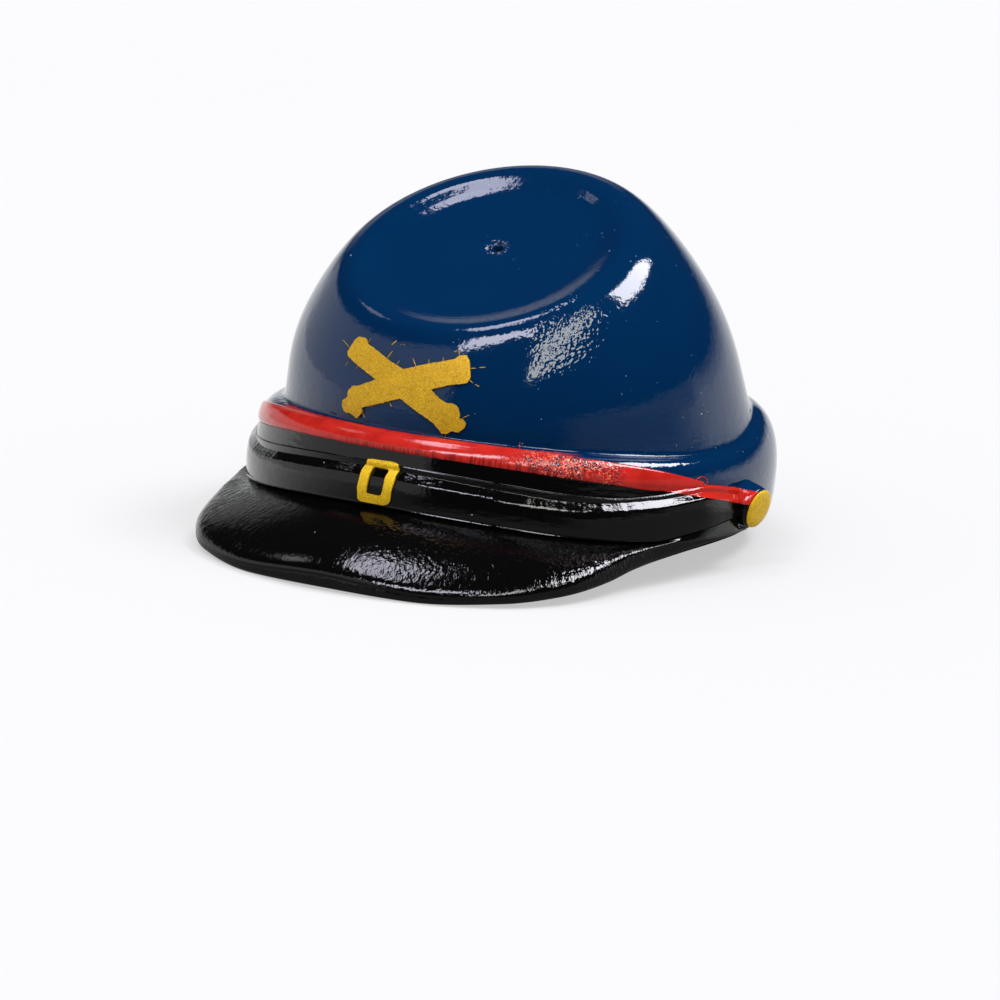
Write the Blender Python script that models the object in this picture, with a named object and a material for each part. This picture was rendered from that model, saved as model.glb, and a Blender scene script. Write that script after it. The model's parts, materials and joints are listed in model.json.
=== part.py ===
"""Kepi cap of a small toy figure, at its own size, about 14 mm wide.

Blender 4.5 script: it clears the scene and builds each piece as one named, closed object.
Lengths are written in millimetres in the cap's own frame: z = 0 is the crease between crown and
roll at the front, the peak points along -Y, and the cap is the same on both sides of X = 0. An
empty then leans and lifts the whole cap, so that it stands on z = 0 on its peak and its back rim.
"""

import math

import bmesh
import bpy
from mathutils import Vector

MM = 0.001

# Facets
AROUND = 64             # facets round the crown and the roll
CROWN_STEPS = 9         # rings up the crown's side
ROUND_STEPS = 4         # rings in each rounded edge
ROLL_STEPS = 5          # rings in each half of the roll
BAND_STEP = 3.6         # degrees between sections of the pieces that wrap the roll

# Crown
CREASE_RADIUS = 5.91    # crown at its foot
TOP_CENTRE = Vector((0.0, -2.50, 4.31))   # middle of the round top's rim
TOP_TILT = math.radians(31.5)             # the top leans forward
RIM_RADIUS = 3.33       # crest of the top's rim
RIM_ROUND = 0.85        # rounding from crest to side
RIM_ROUND_START = math.radians(25)
SIDE_FULLNESS_FOOT = 0.96   # handles of the side's curve, as shares of its height
SIDE_FULLNESS_TOP = 0.15
SIDE_LEAN = math.radians(-10.7)           # outward lean of the side at its foot, mean
SIDE_LEAN_FRONT = math.radians(20.2)      # more at the front, as much less at the back
SIDE_LEAN_FOLD = math.radians(-1.9)
DISH_DEPTH = 0.16
DISH_WALL = (2.55, 3.33)    # radii where the sunken top's slope ends and begins

# Hollow for the head: height, middle along Y, radius
HOLLOW_ROWS = (
    ("height", "middle_y", "radius"),
    (-1.75, 0.0, 5.15),
    (-0.20, 0.0, 5.15),
    (0.45, -0.12, 5.00),
    (1.10, -0.30, 4.72),
    (1.70, -0.46, 4.40),
    (2.02, -0.54, 4.18),
    (2.10, -0.55, 4.02),
)
HOLLOW_MOUTH = 5.30     # radius of its bevelled mouth

# Roll, strap, piping and peak wrap an axis a little in front of the crown's
BAND_AXIS_Y = -0.17
ROLL_RADIUS = 6.36      # at its fullest
ROLL_FULL_Z = -0.64     # height of its fullest line
ROLL_SQUARENESS = 2.2   # exponent of its section above that line: 2 is an ellipse
SQUARER_IN_FRONT = 0.2  # more of it at the front, as much less at the back
RIM_SQUARENESS = 2.6    # and below that line
ROLL_UNDERCUT = 0.40    # it pulls in by this at the rim
GAP = 0.022             # between pieces that touch
PIPING_THICK = 0.05
PIPING_END = 77.0       # degrees from the front
STRAP_END = 90.0
STRAP_RADIUS = 6.62
LEDGE_INSET = 0.14      # middle of the strap's sloping ledge, in from its face
LEDGE_SWELL = 0.03
PEAK_END = 93.0
PEAK_ROOT = 6.50        # radius where the peak's upper face starts, under the strap
PEAK_SWELL = 0.10       # bulge of its upper face
PEAK_HOLLOW = 0.20      # rise of its underside
PEAK_FACE_SHARES = (0.35, 0.70)
LEAST_FACE = 0.04       # width of the upper face where the peak is only a lip
WALL_THICK = 0.05       # thin wall of the peak between the strap and the lip
WALL_START = 54.0       # degrees from the front where that wall begins to show
WALL_FULL = 64.0

# Face of the strap: share of its height down from the top edge, and distance in
STRAP_FACE = (
    ("share", "inset"),
    (-0.02, 0.07),
    (0.07, 0.02),
    (0.45, 0.00),
    (0.75, 0.03),
    (0.96, 0.09),
    (1.00, 0.13),
)

# Heights by the angle from the front, in degrees
HEIGHTS = (
    ("angle", "crease", "piping_top", "piping_low", "ledge", "strap_top", "strap_low", "rim"),
    (0.0, 0.00, -0.01, -0.42, -0.46, -0.70, -1.75, -2.25),
    (15.0, 0.00, -0.01, -0.43, -0.47, -0.74, -1.79, -2.26),
    (28.0, 0.00, -0.02, -0.47, -0.51, -0.82, -1.86, -2.29),
    (40.0, 0.00, -0.06, -0.55, -0.59, -0.91, -1.94, -2.32),
    (52.0, 0.00, -0.13, -0.64, -0.68, -0.95, -1.98, -2.33),
    (62.0, 0.00, -0.25, -0.73, -0.77, -0.86, -1.93, -2.28),
    (70.0, 0.01, -0.41, -0.76, -0.80, -0.72, -1.70, -2.18),
    (77.0, 0.04, -0.58, -0.68, -0.78, -0.66, -1.52, -2.07),
    (90.0, 0.20, -0.60, -0.68, -0.76, -0.66, -1.40, -1.93),
    (105.0, 0.60, -0.60, -0.68, -0.76, -0.66, -1.40, -1.96),
    (120.0, 0.93, -0.60, -0.68, -0.76, -0.66, -1.40, -2.03),
    (150.0, 1.12, -0.60, -0.68, -0.76, -0.66, -1.40, -2.10),
    (180.0, 1.18, -0.60, -0.68, -0.76, -0.66, -1.40, -2.12),
)

# Outer edge of the peak, which thins to a lip along the rim past 60 degrees
PEAK_EDGE = (
    ("angle", "radius", "bottom", "thick"),
    (0.0, 8.66, -3.61, 0.40),
    (15.0, 8.64, -3.63, 0.41),
    (30.0, 8.47, -3.44, 0.43),
    (40.0, 8.07, -3.20, 0.45),
    (50.0, 7.35, -2.87, 0.46),
    (56.0, 6.98, -2.61, 0.44),
    (62.0, 6.80, -2.41, 0.38),
    (70.0, 6.67, -2.24, 0.28),
    (80.0, 6.55, -2.07, 0.16),
    (93.0, 6.46, -1.90, 0.08),
)

# Buckle frame on the strap
BUCKLE_MIDDLE = (0.05, -1.175)      # X and Z
BUCKLE_LOOPS = (
    ("half_width", "half_height", "squareness"),
    (0.470, 0.525, 5.0),
    (0.355, 0.415, 6.0),
    (0.225, 0.305, 9.0),
)
BUCKLE_POINTS = 32
BUCKLE_SKEW = 0.08      # it leans to +X by this for each millimetre up
TRIM_THICK = 0.05       # thickness of the buckle and of the badge

# Crossed cannons on the crown, drawn flat and bent to it
BADGE_MIDDLE = (-0.05, 1.155)       # X and Z
BARREL_SLOPE = math.radians(23.5)
BARREL_WAIST = 0.275    # half width where the barrels cross
MUZZLE_ROWS = (
    ("along", "half_width"),
    (1.28, 0.270),
    (1.36, 0.315),
    (1.62, 0.325),
    (1.72, 0.270),
)
BREECH_ROWS = (
    ("along", "half_width"),
    (1.20, 0.285),
    (1.26, 0.345),
    (1.48, 0.350),
    (1.56, 0.250),
    (1.60, 0.150),
    (1.66, 0.190),
    (1.78, 0.180),
    (1.86, 0.090),
)
BADGE_STRIP = 0.30      # spacing of the cuts that let it bend

# Round ends of the strap with their buttons
BOSS_HEIGHT = -1.08
BOSS_FORWARD = -0.02
BOSS_RADIUS = 0.57
BOSS_DROOP = math.radians(14)   # its face looks a little down
BOSS_INNER = 6.42
BOSS_OUTER = 6.73
BUTTON_RADIUS = 0.44
BUTTON_THICK = 0.09

# Colours (linear), roughness and metallic value
NAVY = ((0.004, 0.042, 0.13), 0.16, 0.0)
BLACK = ((0.004, 0.004, 0.005), 0.14, 0.0)
RED = ((0.55, 0.016, 0.012), 0.24, 0.0)
GOLD = ((0.60, 0.36, 0.035), 0.42, 0.55)


# Tables and curves

def column(rows, name):
    index = rows[0].index(name)
    return [row[index] for row in rows[1:]]


def look_up(rows, name, at):
    """A smooth curve through one column of a table, read at a value of its first column."""
    xs = column(rows, rows[0][0])
    ys = column(rows, name)
    at = min(max(at, xs[0]), xs[-1])
    i = max(k for k in range(len(xs) - 1) if xs[k] <= at)
    steps = [(ys[k + 1] - ys[k]) / (xs[k + 1] - xs[k]) for k in range(len(xs) - 1)]

    def slope(k):
        if k == 0 or k == len(xs) - 1:
            return 0.0
        before, after = steps[k - 1], steps[k]
        if before * after <= 0.0:
            return 0.0
        return 2.0 * before * after / (before + after)

    width = xs[i + 1] - xs[i]
    t = (at - xs[i]) / width
    rise = ys[i] * (1 + 2 * t) * (1 - t) ** 2 + ys[i + 1] * t * t * (3 - 2 * t)
    return rise + width * (slope(i) * t * (1 - t) ** 2 - slope(i + 1) * t * t * (1 - t))


def height(name, angle):
    """A height of the band at an angle from the front, the same on both sides."""
    degrees = abs(math.degrees(angle)) % 360.0
    return look_up(HEIGHTS, name, min(degrees, 360.0 - degrees))


def edge(name, angle):
    return look_up(PEAK_EDGE, name, abs(math.degrees(angle)))


def spread(start, end, steps):
    return [start + (end - start) * k / steps for k in range(steps + 1)]


# Crown

def outward(angle, tilt=0.0):
    """Unit direction away from the middle, in a round section that leans forward by tilt."""
    forward = -math.cos(angle)
    return Vector((math.sin(angle), forward * math.cos(tilt), forward * math.sin(tilt)))


def top_normal():
    return Vector((0.0, -math.sin(TOP_TILT), math.cos(TOP_TILT)))


def rim_point(angle, turn):
    """A point on the rim's rounding: turn 0 looks outward and turn 90 degrees is the crest."""
    sink = RIM_ROUND * (1.0 - math.sin(turn))
    reach = RIM_RADIUS + RIM_ROUND * math.cos(turn)
    return TOP_CENTRE - sink * top_normal() + reach * outward(angle, TOP_TILT)


def side_point(angle, share):
    """A point on the crown's side, from its foot at 0 to the start of the rim's rounding at 1."""
    foot = CREASE_RADIUS * outward(angle)
    top = rim_point(angle, RIM_ROUND_START)
    rise = (top - foot).length
    front = math.cos(angle)
    lean = SIDE_LEAN + SIDE_LEAN_FRONT * front + SIDE_LEAN_FOLD * front * front
    up = Vector((0.0, 0.0, math.cos(lean))) + math.sin(lean) * outward(angle)
    down = math.sin(RIM_ROUND_START) * outward(angle, TOP_TILT)
    down = down - math.cos(RIM_ROUND_START) * top_normal()
    handle_foot = foot + SIDE_FULLNESS_FOOT * rise * up
    handle_top = top + SIDE_FULLNESS_TOP * rise * down
    rest = 1.0 - share
    return (
        rest ** 3 * foot
        + 3 * share * rest ** 2 * handle_foot
        + 3 * share ** 2 * rest * handle_top
        + share ** 3 * top
    )


def side_share_at(angle, z):
    """How far up the side a height lies."""
    low, high = 0.0, 1.0
    for _ in range(30):
        share = (low + high) / 2
        if side_point(angle, share).z < z:
            low = share
        else:
            high = share
    return low


def crown_surface(x, z):
    """A point on the front of the crown, and the direction away from it."""
    angle = math.asin(x / CREASE_RADIUS)

    def at(angle, z):
        if z <= rim_point(angle, RIM_ROUND_START).z:
            return side_point(angle, side_share_at(angle, z))
        low, high = RIM_ROUND_START, math.pi / 2
        for _ in range(30):
            turn = (low + high) / 2
            if rim_point(angle, turn).z < z:
                low = turn
            else:
                high = turn
        return rim_point(angle, low)

    for _ in range(6):
        angle += (x - at(angle, z).x) / CREASE_RADIUS
    point = at(angle, z)
    across = at(angle + 0.01, z) - at(angle - 0.01, z)
    upward = at(angle, z + 0.03) - at(angle, z - 0.03)
    return point, across.cross(upward).normalized()


def dish_rows():
    """Radius and depth of the sunken top's rings, from the crest inwards."""
    inner, outer = DISH_WALL
    rows = []
    for k in range(1, ROUND_STEPS + 2):
        share = k / (ROUND_STEPS + 1)
        depth = DISH_DEPTH * (1 - math.cos(math.pi * share)) / 2
        rows.append((outer + (inner - outer) * share, depth))
    return rows + [(1.3, DISH_DEPTH)]


# Roll

def around(angle, radius, z):
    """A point at a radius from the band's axis."""
    point = radius * outward(angle)
    return Vector((point.x, point.y + BAND_AXIS_Y, z))


def crease_radius(angle):
    foot = side_point(angle, side_share_at(angle, height("crease", angle)))
    return math.hypot(foot.x, foot.y - BAND_AXIS_Y)


def roll_section(angle, turn):
    """Radius and height on the roll: turn 0 is the crease, 1 its fullest line and 2 the rim."""
    if turn <= 1.0:
        power = 2.0 / (ROLL_SQUARENESS + SQUARER_IN_FRONT * math.cos(angle))
        bend = turn * math.pi / 2
        start = crease_radius(angle)
        reach = start + (ROLL_RADIUS - start) * math.sin(bend) ** power
        rise = height("crease", angle) - ROLL_FULL_Z
        return reach, ROLL_FULL_Z + rise * max(math.cos(bend), 0.0) ** power
    power = 2.0 / RIM_SQUARENESS
    bend = (turn - 1.0) * math.pi / 2
    reach = ROLL_RADIUS - ROLL_UNDERCUT * (1 - max(math.cos(bend), 0.0) ** power)
    return reach, ROLL_FULL_Z - (ROLL_FULL_Z - height("rim", angle)) * math.sin(bend) ** power


def roll_turn_at(angle, z):
    low, high = 0.0, 2.0
    for _ in range(30):
        turn = (low + high) / 2
        if roll_section(angle, turn)[1] > z:
            low = turn
        else:
            high = turn
    return low


def off_roll(angle, turn, lift):
    """Radius and height of a point that stands off the roll's surface by lift."""
    step = 0.02
    before = roll_section(angle, max(turn - step, 0.0))
    after = roll_section(angle, min(turn + step, 2.0))
    along = Vector((after[0] - before[0], after[1] - before[1])).normalized()
    reach, z = roll_section(angle, turn)
    return reach - along.y * lift, z + along.x * lift


# Mesh helpers

def paint(obj, name, finish):
    colour, roughness, metallic = finish
    material = bpy.data.materials.new(name)
    material.use_nodes = True
    shader = material.node_tree.nodes["Principled BSDF"]
    shader.inputs["Base Color"].default_value = (*colour, 1.0)
    shader.inputs["Roughness"].default_value = roughness
    shader.inputs["Metallic"].default_value = metallic
    material.diffuse_color = (*colour, 1.0)
    obj.data.materials.append(material)


def add_object(name, bm):
    """Closes a bmesh into an object, with its lengths turned from millimetres to metres."""
    bmesh.ops.scale(bm, vec=(MM, MM, MM), verts=bm.verts)
    bmesh.ops.recalc_face_normals(bm, faces=bm.faces)
    mesh = bpy.data.meshes.new(name)
    bm.to_mesh(mesh)
    bm.free()
    mesh.shade_smooth()
    mesh.set_sharp_from_angle(angle=math.radians(35))
    obj = bpy.data.objects.new(name, mesh)
    bpy.context.scene.collection.objects.link(obj)
    return obj


def strip(bm, rings):
    """A surface through rings of points, each extruded from the one before. Its two end loops."""
    place = bm.verts.layers.int.new("place")
    verts = bmesh.ops.create_circle(bm, segments=len(rings[0]), radius=1.0)["verts"]
    for index, vert in enumerate(verts):
        vert[place] = index
        vert.co = rings[0][index]
    first = list(bm.edges)
    last = first
    for ring in rings[1:]:
        new = bmesh.ops.extrude_edge_only(bm, edges=last)["geom"]
        for vert in new:
            if isinstance(vert, bmesh.types.BMVert):
                vert.co = ring[vert[place]]
        last = [
            item for item in new
            if isinstance(item, bmesh.types.BMEdge) and len(item.link_faces) == 1
        ]
    return first, last


def loft(bm, rings):
    """A closed body through rings of points."""
    for loop in strip(bm, rings):
        bmesh.ops.contextual_create(bm, geom=loop)


def turned_ring(point_at):
    return [point_at(2 * math.pi * k / AROUND) for k in range(AROUND)]


def wrap(name, section_at, end_angle):
    """A piece that wraps the front of the roll, lofted through sections from side to side."""
    steps = round(2 * end_angle / BAND_STEP)
    bm = bmesh.new()
    rings = []
    for degrees in spread(-end_angle, end_angle, steps):
        angle = math.radians(degrees)
        rings.append([around(angle, reach, z) for reach, z in section_at(angle)])
    loft(bm, rings)
    return add_object(name, bm)


# Pieces

def build_crown_shell():
    """Crown and roll as one hollow moulding, from the hollow's ceiling out to the sunken top."""
    def hollow_ring(row):
        z, middle, radius = row
        return turned_ring(lambda a: radius * outward(a) + Vector((0.0, middle, z)))

    def mouth_point(angle):
        return HOLLOW_MOUTH * outward(angle) + Vector((0.0, 0.0, height("rim", angle)))

    rings = [hollow_ring(row) for row in reversed(HOLLOW_ROWS[1:])]
    rings.append(turned_ring(mouth_point))
    for turn in spread(2.0, 0.0, 2 * ROLL_STEPS):
        rings.append(turned_ring(lambda a: around(a, *roll_section(a, turn))))
    for k in range(1, CROWN_STEPS + 1):
        share = k / CROWN_STEPS

        def side_ring_point(angle):
            start = side_share_at(angle, height("crease", angle))
            return side_point(angle, start + (1.0 - start) * share)

        rings.append(turned_ring(side_ring_point))
    for turn in spread(RIM_ROUND_START, math.pi / 2, ROUND_STEPS)[1:]:
        rings.append(turned_ring(lambda a: rim_point(a, turn)))
    for radius, depth in dish_rows():
        sunk = TOP_CENTRE - depth * top_normal()
        rings.append(turned_ring(lambda a: sunk + radius * outward(a, TOP_TILT)))
    bm = bmesh.new()
    loft(bm, rings)
    obj = add_object("crown_shell", bm)
    paint(obj, "navy_plastic", NAVY)
    return obj


def build_piping():
    """The raised line round the roll's front half, tapering to its ends."""
    def section(angle):
        top = roll_turn_at(angle, height("piping_top", angle))
        low = roll_turn_at(angle, height("piping_low", angle))
        turns = spread(top, low, 4)
        inner = [off_roll(angle, turn, GAP) for turn in turns]
        outer = [off_roll(angle, turn, GAP + PIPING_THICK) for turn in reversed(turns)]
        return inner + outer

    obj = wrap("piping", section, PIPING_END)
    paint(obj, "red_paint", RED)
    return obj


def strap_section(angle):
    """Outer side of the strap, top to bottom: sloping ledge, rounded top edge and face."""
    root = height("ledge", angle)
    top = height("strap_top", angle)
    low = height("strap_low", angle)
    rows = [
        off_roll(angle, roll_turn_at(angle, root), GAP + PIPING_THICK / 2),
        (STRAP_RADIUS - LEDGE_INSET, (root + top) / 2 + LEDGE_SWELL),
    ]
    for share, inset in STRAP_FACE[1:]:
        rows.append((STRAP_RADIUS - inset, top + share * (low - top)))
    return rows


def boss_frame(side):
    """Middle of a strap end's inner face, and the way that the end looks."""
    looks = Vector((side * math.cos(BOSS_DROOP), 0.0, -math.sin(BOSS_DROOP)))
    start = Vector((side * BOSS_INNER, BOSS_FORWARD, BOSS_HEIGHT))
    return start, looks


def add_disc(name, side, start, end, radius, rounding):
    """A round body along a strap end's axis, with its outer edge rounded."""
    origin, looks = boss_frame(side)
    bm = bmesh.new()
    bmesh.ops.create_cone(
        bm, cap_ends=True, segments=24, radius1=radius, radius2=radius, depth=end - start
    )
    rim = [e for e in bm.edges if all(v.co.z > 0 for v in e.verts)]
    bmesh.ops.bevel(
        bm, geom=rim, offset=rounding, offset_type="OFFSET", segments=3, profile=0.5,
        affect="EDGES", material=-1,
    )
    turn = looks.to_track_quat("Z", "Y").to_matrix()
    bmesh.ops.rotate(bm, cent=(0, 0, 0), matrix=turn, verts=bm.verts)
    bmesh.ops.translate(bm, vec=origin + looks * (start + end) / 2, verts=bm.verts)
    return add_object(name, bm)


def build_chin_strap():
    """The strap across the front, with a round end on each side."""
    def section(angle):
        outer = strap_section(angle)
        low = roll_turn_at(angle, height("strap_low", angle))
        root = roll_turn_at(angle, height("ledge", angle))
        inner = [off_roll(angle, turn, GAP) for turn in spread(low, root, 4)]
        return outer + inner

    obj = wrap("chin_strap", section, STRAP_END)
    paint(obj, "black_paint", BLACK)
    for side in (-1, 1):
        boss = add_disc(f"strap_end_{side}", side, 0.0, BOSS_OUTER - BOSS_INNER, BOSS_RADIUS, 0.1)
        boss.hide_render = True
        boss.display_type = "WIRE"
        union = obj.modifiers.new(f"round_end_{side}", "BOOLEAN")
        union.operation = "UNION"
        union.solver = "EXACT"
        union.object = boss
    return obj


def flange_top(angle):
    """Top of the peak's thin wall behind its lip, kept clear of the strap's round end."""
    top = height("strap_low", angle) - GAP
    along = abs(around(angle, ROLL_RADIUS, 0.0).y - BOSS_FORWARD)
    clear = BOSS_RADIUS + 2 * GAP
    if along < clear:
        top = min(top, BOSS_HEIGHT - math.sqrt(clear ** 2 - along ** 2))
    return top


def peak_section(angle):
    """Section of the peak: wall against the roll, upper face, rounded edge and hollow underside."""
    radius, bottom, thick = (edge(name, angle) for name in ("radius", "bottom", "thick"))
    top = flange_top(angle)
    lip = bottom + thick
    turns = spread(2.0, roll_turn_at(angle, top), 4)
    points = [off_roll(angle, turn, GAP) for turn in turns]
    foot, foot_z = points[0]
    wall = points[-1][0] + WALL_THICK
    root = max(min(PEAK_ROOT, radius - LEAST_FACE), wall)
    shown = (abs(math.degrees(angle)) - WALL_START) / (WALL_FULL - WALL_START)
    shown = min(max(shown, 0.0), 1.0)
    shelf = top + shown * (min(top, lip) - top) - GAP / 2
    reach = radius - root
    fullness = min(reach / 2, 1.0)
    points += [(wall, top), (root, shelf)]
    for share in PEAK_FACE_SHARES:
        swell = PEAK_SWELL * 4 * share * (1 - share) * fullness
        points.append((root + share * reach, shelf - share * (shelf - lip) + swell))
    points += [
        (radius - 0.05, lip),
        (radius, lip - 0.25 * thick),
        (radius, bottom + 0.30 * thick),
        (radius - 0.07, bottom),
    ]
    for share in reversed(PEAK_FACE_SHARES):
        rise = PEAK_HOLLOW * 4 * share * (1 - share) * fullness
        across = foot + share * (radius - foot)
        points.append((across, foot_z + share * (bottom - foot_z) + rise))
    return points


def build_peak():
    """The peak, which thins into a lip along the rim as far as the strap's round ends."""
    obj = wrap("peak", peak_section, PEAK_END)
    paint(obj, "black_gloss", BLACK)
    return obj


def strap_surface(x, z):
    """A point on the strap's outer side near the front, and the direction away from it."""
    angle = math.asin(x / STRAP_RADIUS)
    rows = strap_section(angle)
    for above, below in zip(rows, rows[1:]):
        if above[1] >= z >= below[1]:
            share = (above[1] - z) / (above[1] - below[1])
            reach = above[0] + share * (below[0] - above[0])
            slope = Vector((above[1] - below[1], below[0] - above[0])).normalized()
            facing = slope.x * outward(angle) + Vector((0.0, 0.0, slope.y))
            return around(angle, reach, z), facing.normalized()
    raise ValueError("the height is off the strap")


def bend_onto(bm, surface):
    """Turns a flat plate, drawn in X and Z with its thickness along Y, onto a curved surface."""
    for vert in bm.verts:
        point, facing = surface(vert.co.x, vert.co.z)
        vert.co = point + facing * (GAP - vert.co.y)


def thicken(bm):
    """Gives a flat sheet in X and Z its thickness, towards the front."""
    faces = list(bm.faces)
    new = bmesh.ops.extrude_face_region(bm, geom=faces)["geom"]
    front = [item for item in new if isinstance(item, bmesh.types.BMVert)]
    bmesh.ops.translate(bm, vec=(0.0, -TRIM_THICK, 0.0), verts=front)


def buckle_point(row, share):
    """A point on one of the buckle's rounded loops, a share of the way round."""
    half_width, half_height, squareness = row
    turn = 2 * math.pi * share
    cosine, sine = math.cos(turn), math.sin(turn)
    power = 2.0 / squareness
    across = math.copysign(half_width * abs(cosine) ** power, cosine)
    up = math.copysign(half_height * abs(sine) ** power, sine)
    x, z = BUCKLE_MIDDLE
    return Vector((x + across + BUCKLE_SKEW * up, 0.0, z + up))


def build_buckle():
    """An open frame on the strap's middle."""
    shares = [(k + 0.5) / BUCKLE_POINTS for k in range(BUCKLE_POINTS)]
    bm = bmesh.new()
    strip(bm, [[buckle_point(row, share) for share in shares] for row in BUCKLE_LOOPS[1:]])
    thicken(bm)
    bend_onto(bm, strap_surface)
    obj = add_object("buckle", bm)
    paint(obj, "gold_buckle", GOLD)
    return obj


def badge_outline():
    """Outline of the crossed barrels, from their upper crotch round the right side and back."""
    sine, cosine = math.sin(BARREL_SLOPE), math.cos(BARREL_SLOPE)

    def arm(rows, up):
        """One barrel end on the right: out along its upper side and back along its lower."""
        route = list(rows[1:])
        route += [(along, -half) for along, half in reversed(rows[1:])]
        return [
            (along * cosine - up * half * sine, up * along * sine + half * cosine)
            for along, half in route
        ]

    right = [(0.0, BARREL_WAIST / cosine)]
    right += arm(MUZZLE_ROWS, 1)
    right.append((BARREL_WAIST / sine, 0.0))
    right += arm(BREECH_ROWS, -1)
    right.append((0.0, -BARREL_WAIST / cosine))
    left = [(-x, z) for x, z in reversed(right[1:-1])]
    return right + left


def build_crossed_cannons():
    """Two crossed cannon barrels as one raised plate on the front of the crown."""
    bm = bmesh.new()
    middle = Vector((BADGE_MIDDLE[0], 0.0, BADGE_MIDDLE[1]))
    corners = [bm.verts.new(middle + Vector((x, 0.0, z))) for x, z in badge_outline()]
    bm.faces.new(corners)
    for axis in (Vector((1, 0, 0)), Vector((0, 0, 1))):
        for k in range(-6, 7):
            bmesh.ops.bisect_plane(
                bm, geom=bm.verts[:] + bm.edges[:] + bm.faces[:],
                plane_co=middle + axis * (k * BADGE_STRIP + 0.013), plane_no=axis, dist=1e-4,
            )
    thicken(bm)
    bend_onto(bm, crown_surface)
    obj = add_object("crossed_cannons", bm)
    paint(obj, "gold_badge", GOLD)
    return obj


def build_side_button(name, side):
    start = BOSS_OUTER - BOSS_INNER + GAP
    obj = add_disc(name, side, start, start + BUTTON_THICK, BUTTON_RADIUS, 0.04)
    paint(obj, "gold_" + name, GOLD)
    return obj


# Standing the cap on the floor

def stand_up(objects):
    """Leans the cap about X until peak and back rim are level, and lifts it to stand at z = 0."""
    points = [obj.matrix_world @ v.co for obj in objects for v in obj.data.vertices]
    lean = 0.0
    for _ in range(40):
        sine, cosine = math.sin(lean), math.cos(lean)

        def low(side):
            group = [p for p in points if p.y * side > 0]
            return min(group, key=lambda p: p.y * sine + p.z * cosine)

        front, back = low(-1), low(1)
        lean = math.atan2(front.z - back.z, back.y - front.y)
    sine, cosine = math.sin(lean), math.cos(lean)
    ys = [p.y * cosine - p.z * sine for p in points]
    zs = [p.y * sine + p.z * cosine for p in points]
    seat = bpy.data.objects.new("cap_on_floor", None)
    seat.rotation_euler = (lean, 0.0, 0.0)
    seat.location = (0.0, -(min(ys) + max(ys)) / 2, -min(zs))
    bpy.context.scene.collection.objects.link(seat)
    for obj in bpy.context.scene.objects:
        if obj.type == "MESH":
            obj.parent = seat


def main():
    for obj in list(bpy.data.objects):
        bpy.data.objects.remove(obj, do_unlink=True)
    pieces = [
        build_crown_shell(),
        build_piping(),
        build_chin_strap(),
        build_peak(),
        build_buckle(),
        build_crossed_cannons(),
        build_side_button("side_button_left", 1),
        build_side_button("side_button_right", -1),
    ]
    stand_up(pieces)
    bpy.context.view_layer.update()


main()
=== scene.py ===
"""Looks of a small toy figure's kepi cap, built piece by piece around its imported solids.

Lengths inside the builders are millimetres in the cap's own frame: z = 0 is the crease between
crown and roll at the front, the peak points along -Y, +X is the wearer's left, and the cap is the
same on both sides of X = 0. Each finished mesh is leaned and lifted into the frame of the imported
solids.
"""

import functools
import json
import math

import bmesh
import bpy
from bpy.props import FloatProperty, FloatVectorProperty, PointerProperty
from mathutils import Matrix, Vector, noise
from mathutils.bvhtree import BVHTree


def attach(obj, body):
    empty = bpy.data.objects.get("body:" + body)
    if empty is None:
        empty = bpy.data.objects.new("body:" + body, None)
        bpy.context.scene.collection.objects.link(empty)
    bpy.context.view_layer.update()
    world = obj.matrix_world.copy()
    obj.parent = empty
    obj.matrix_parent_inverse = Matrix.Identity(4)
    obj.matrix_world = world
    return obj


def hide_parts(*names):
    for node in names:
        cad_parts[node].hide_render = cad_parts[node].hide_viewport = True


bl_info = {
    "name": "Toy kepi cap",
    "version": (1, 0, 0),
    "blender": (4, 5, 0),
    "location": "3D View > Sidebar > Kepi",
    "description": "Builds a toy figure's moulded kepi cap and the small studio round it",
    "category": "Add Mesh",
}

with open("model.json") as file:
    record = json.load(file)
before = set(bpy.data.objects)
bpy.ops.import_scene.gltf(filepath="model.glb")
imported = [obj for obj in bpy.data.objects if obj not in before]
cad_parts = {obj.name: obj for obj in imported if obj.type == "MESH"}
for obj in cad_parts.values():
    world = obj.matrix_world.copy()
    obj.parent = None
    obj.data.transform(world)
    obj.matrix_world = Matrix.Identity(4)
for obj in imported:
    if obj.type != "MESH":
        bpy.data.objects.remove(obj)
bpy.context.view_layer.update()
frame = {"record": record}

MM = 0.001
SEAT_IN_CAP = Vector((0.0, -0.55, 2.10))    # middle of the hollow's ceiling

seat = frame["record"]["mounts"][0]
LEAN = math.atan2(seat["axis"][1], -seat["axis"][2])
CAP_TO_WORLD = (
    Matrix.Translation(Vector(seat["pos_m"]))
    @ Matrix.Rotation(LEAN, 4, "X")
    @ Matrix.Scale(MM, 4)
    @ Matrix.Translation(-SEAT_IN_CAP)
)
WORLD_TO_CAP = CAP_TO_WORLD.inverted()

# Facets
AROUND = 240            # facets round the crown and the roll
DOWN_HOLLOW = 24        # rings of them over each part of that moulding
DOWN_ROLL = 64
UP_SIDE = 120
ACROSS_TOP = ((2.25, 76), (0.75, 40), (0.02, 44))       # radius that each run of rings ends at
CREASE_SOFT = 5         # rings on each side of the crease that are evened out, and how often
WRAP_STEP = 0.6         # degrees between sections of the pieces that wrap the roll
TEETH_STEP = 0.25       # and of the piping, for its teeth
ROUND_BODY = 96         # facets round the strap's ends and the buttons
PIPING_ACROSS = 20      # faces across the piping and the peak's upper face and underside
PEAK_ACROSS = 60
UNDERSIDE_ACROSS = 14
PIPING_BACK = 4         # and across the hidden backs of piping, strap and peak
STRAP_BACK = 6
PEAK_BACK = 6
STRAP_ROUNDING = 8      # faces in each rounded corner
PEAK_ROUNDING = 5
BADGE_CORNER = 3
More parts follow.
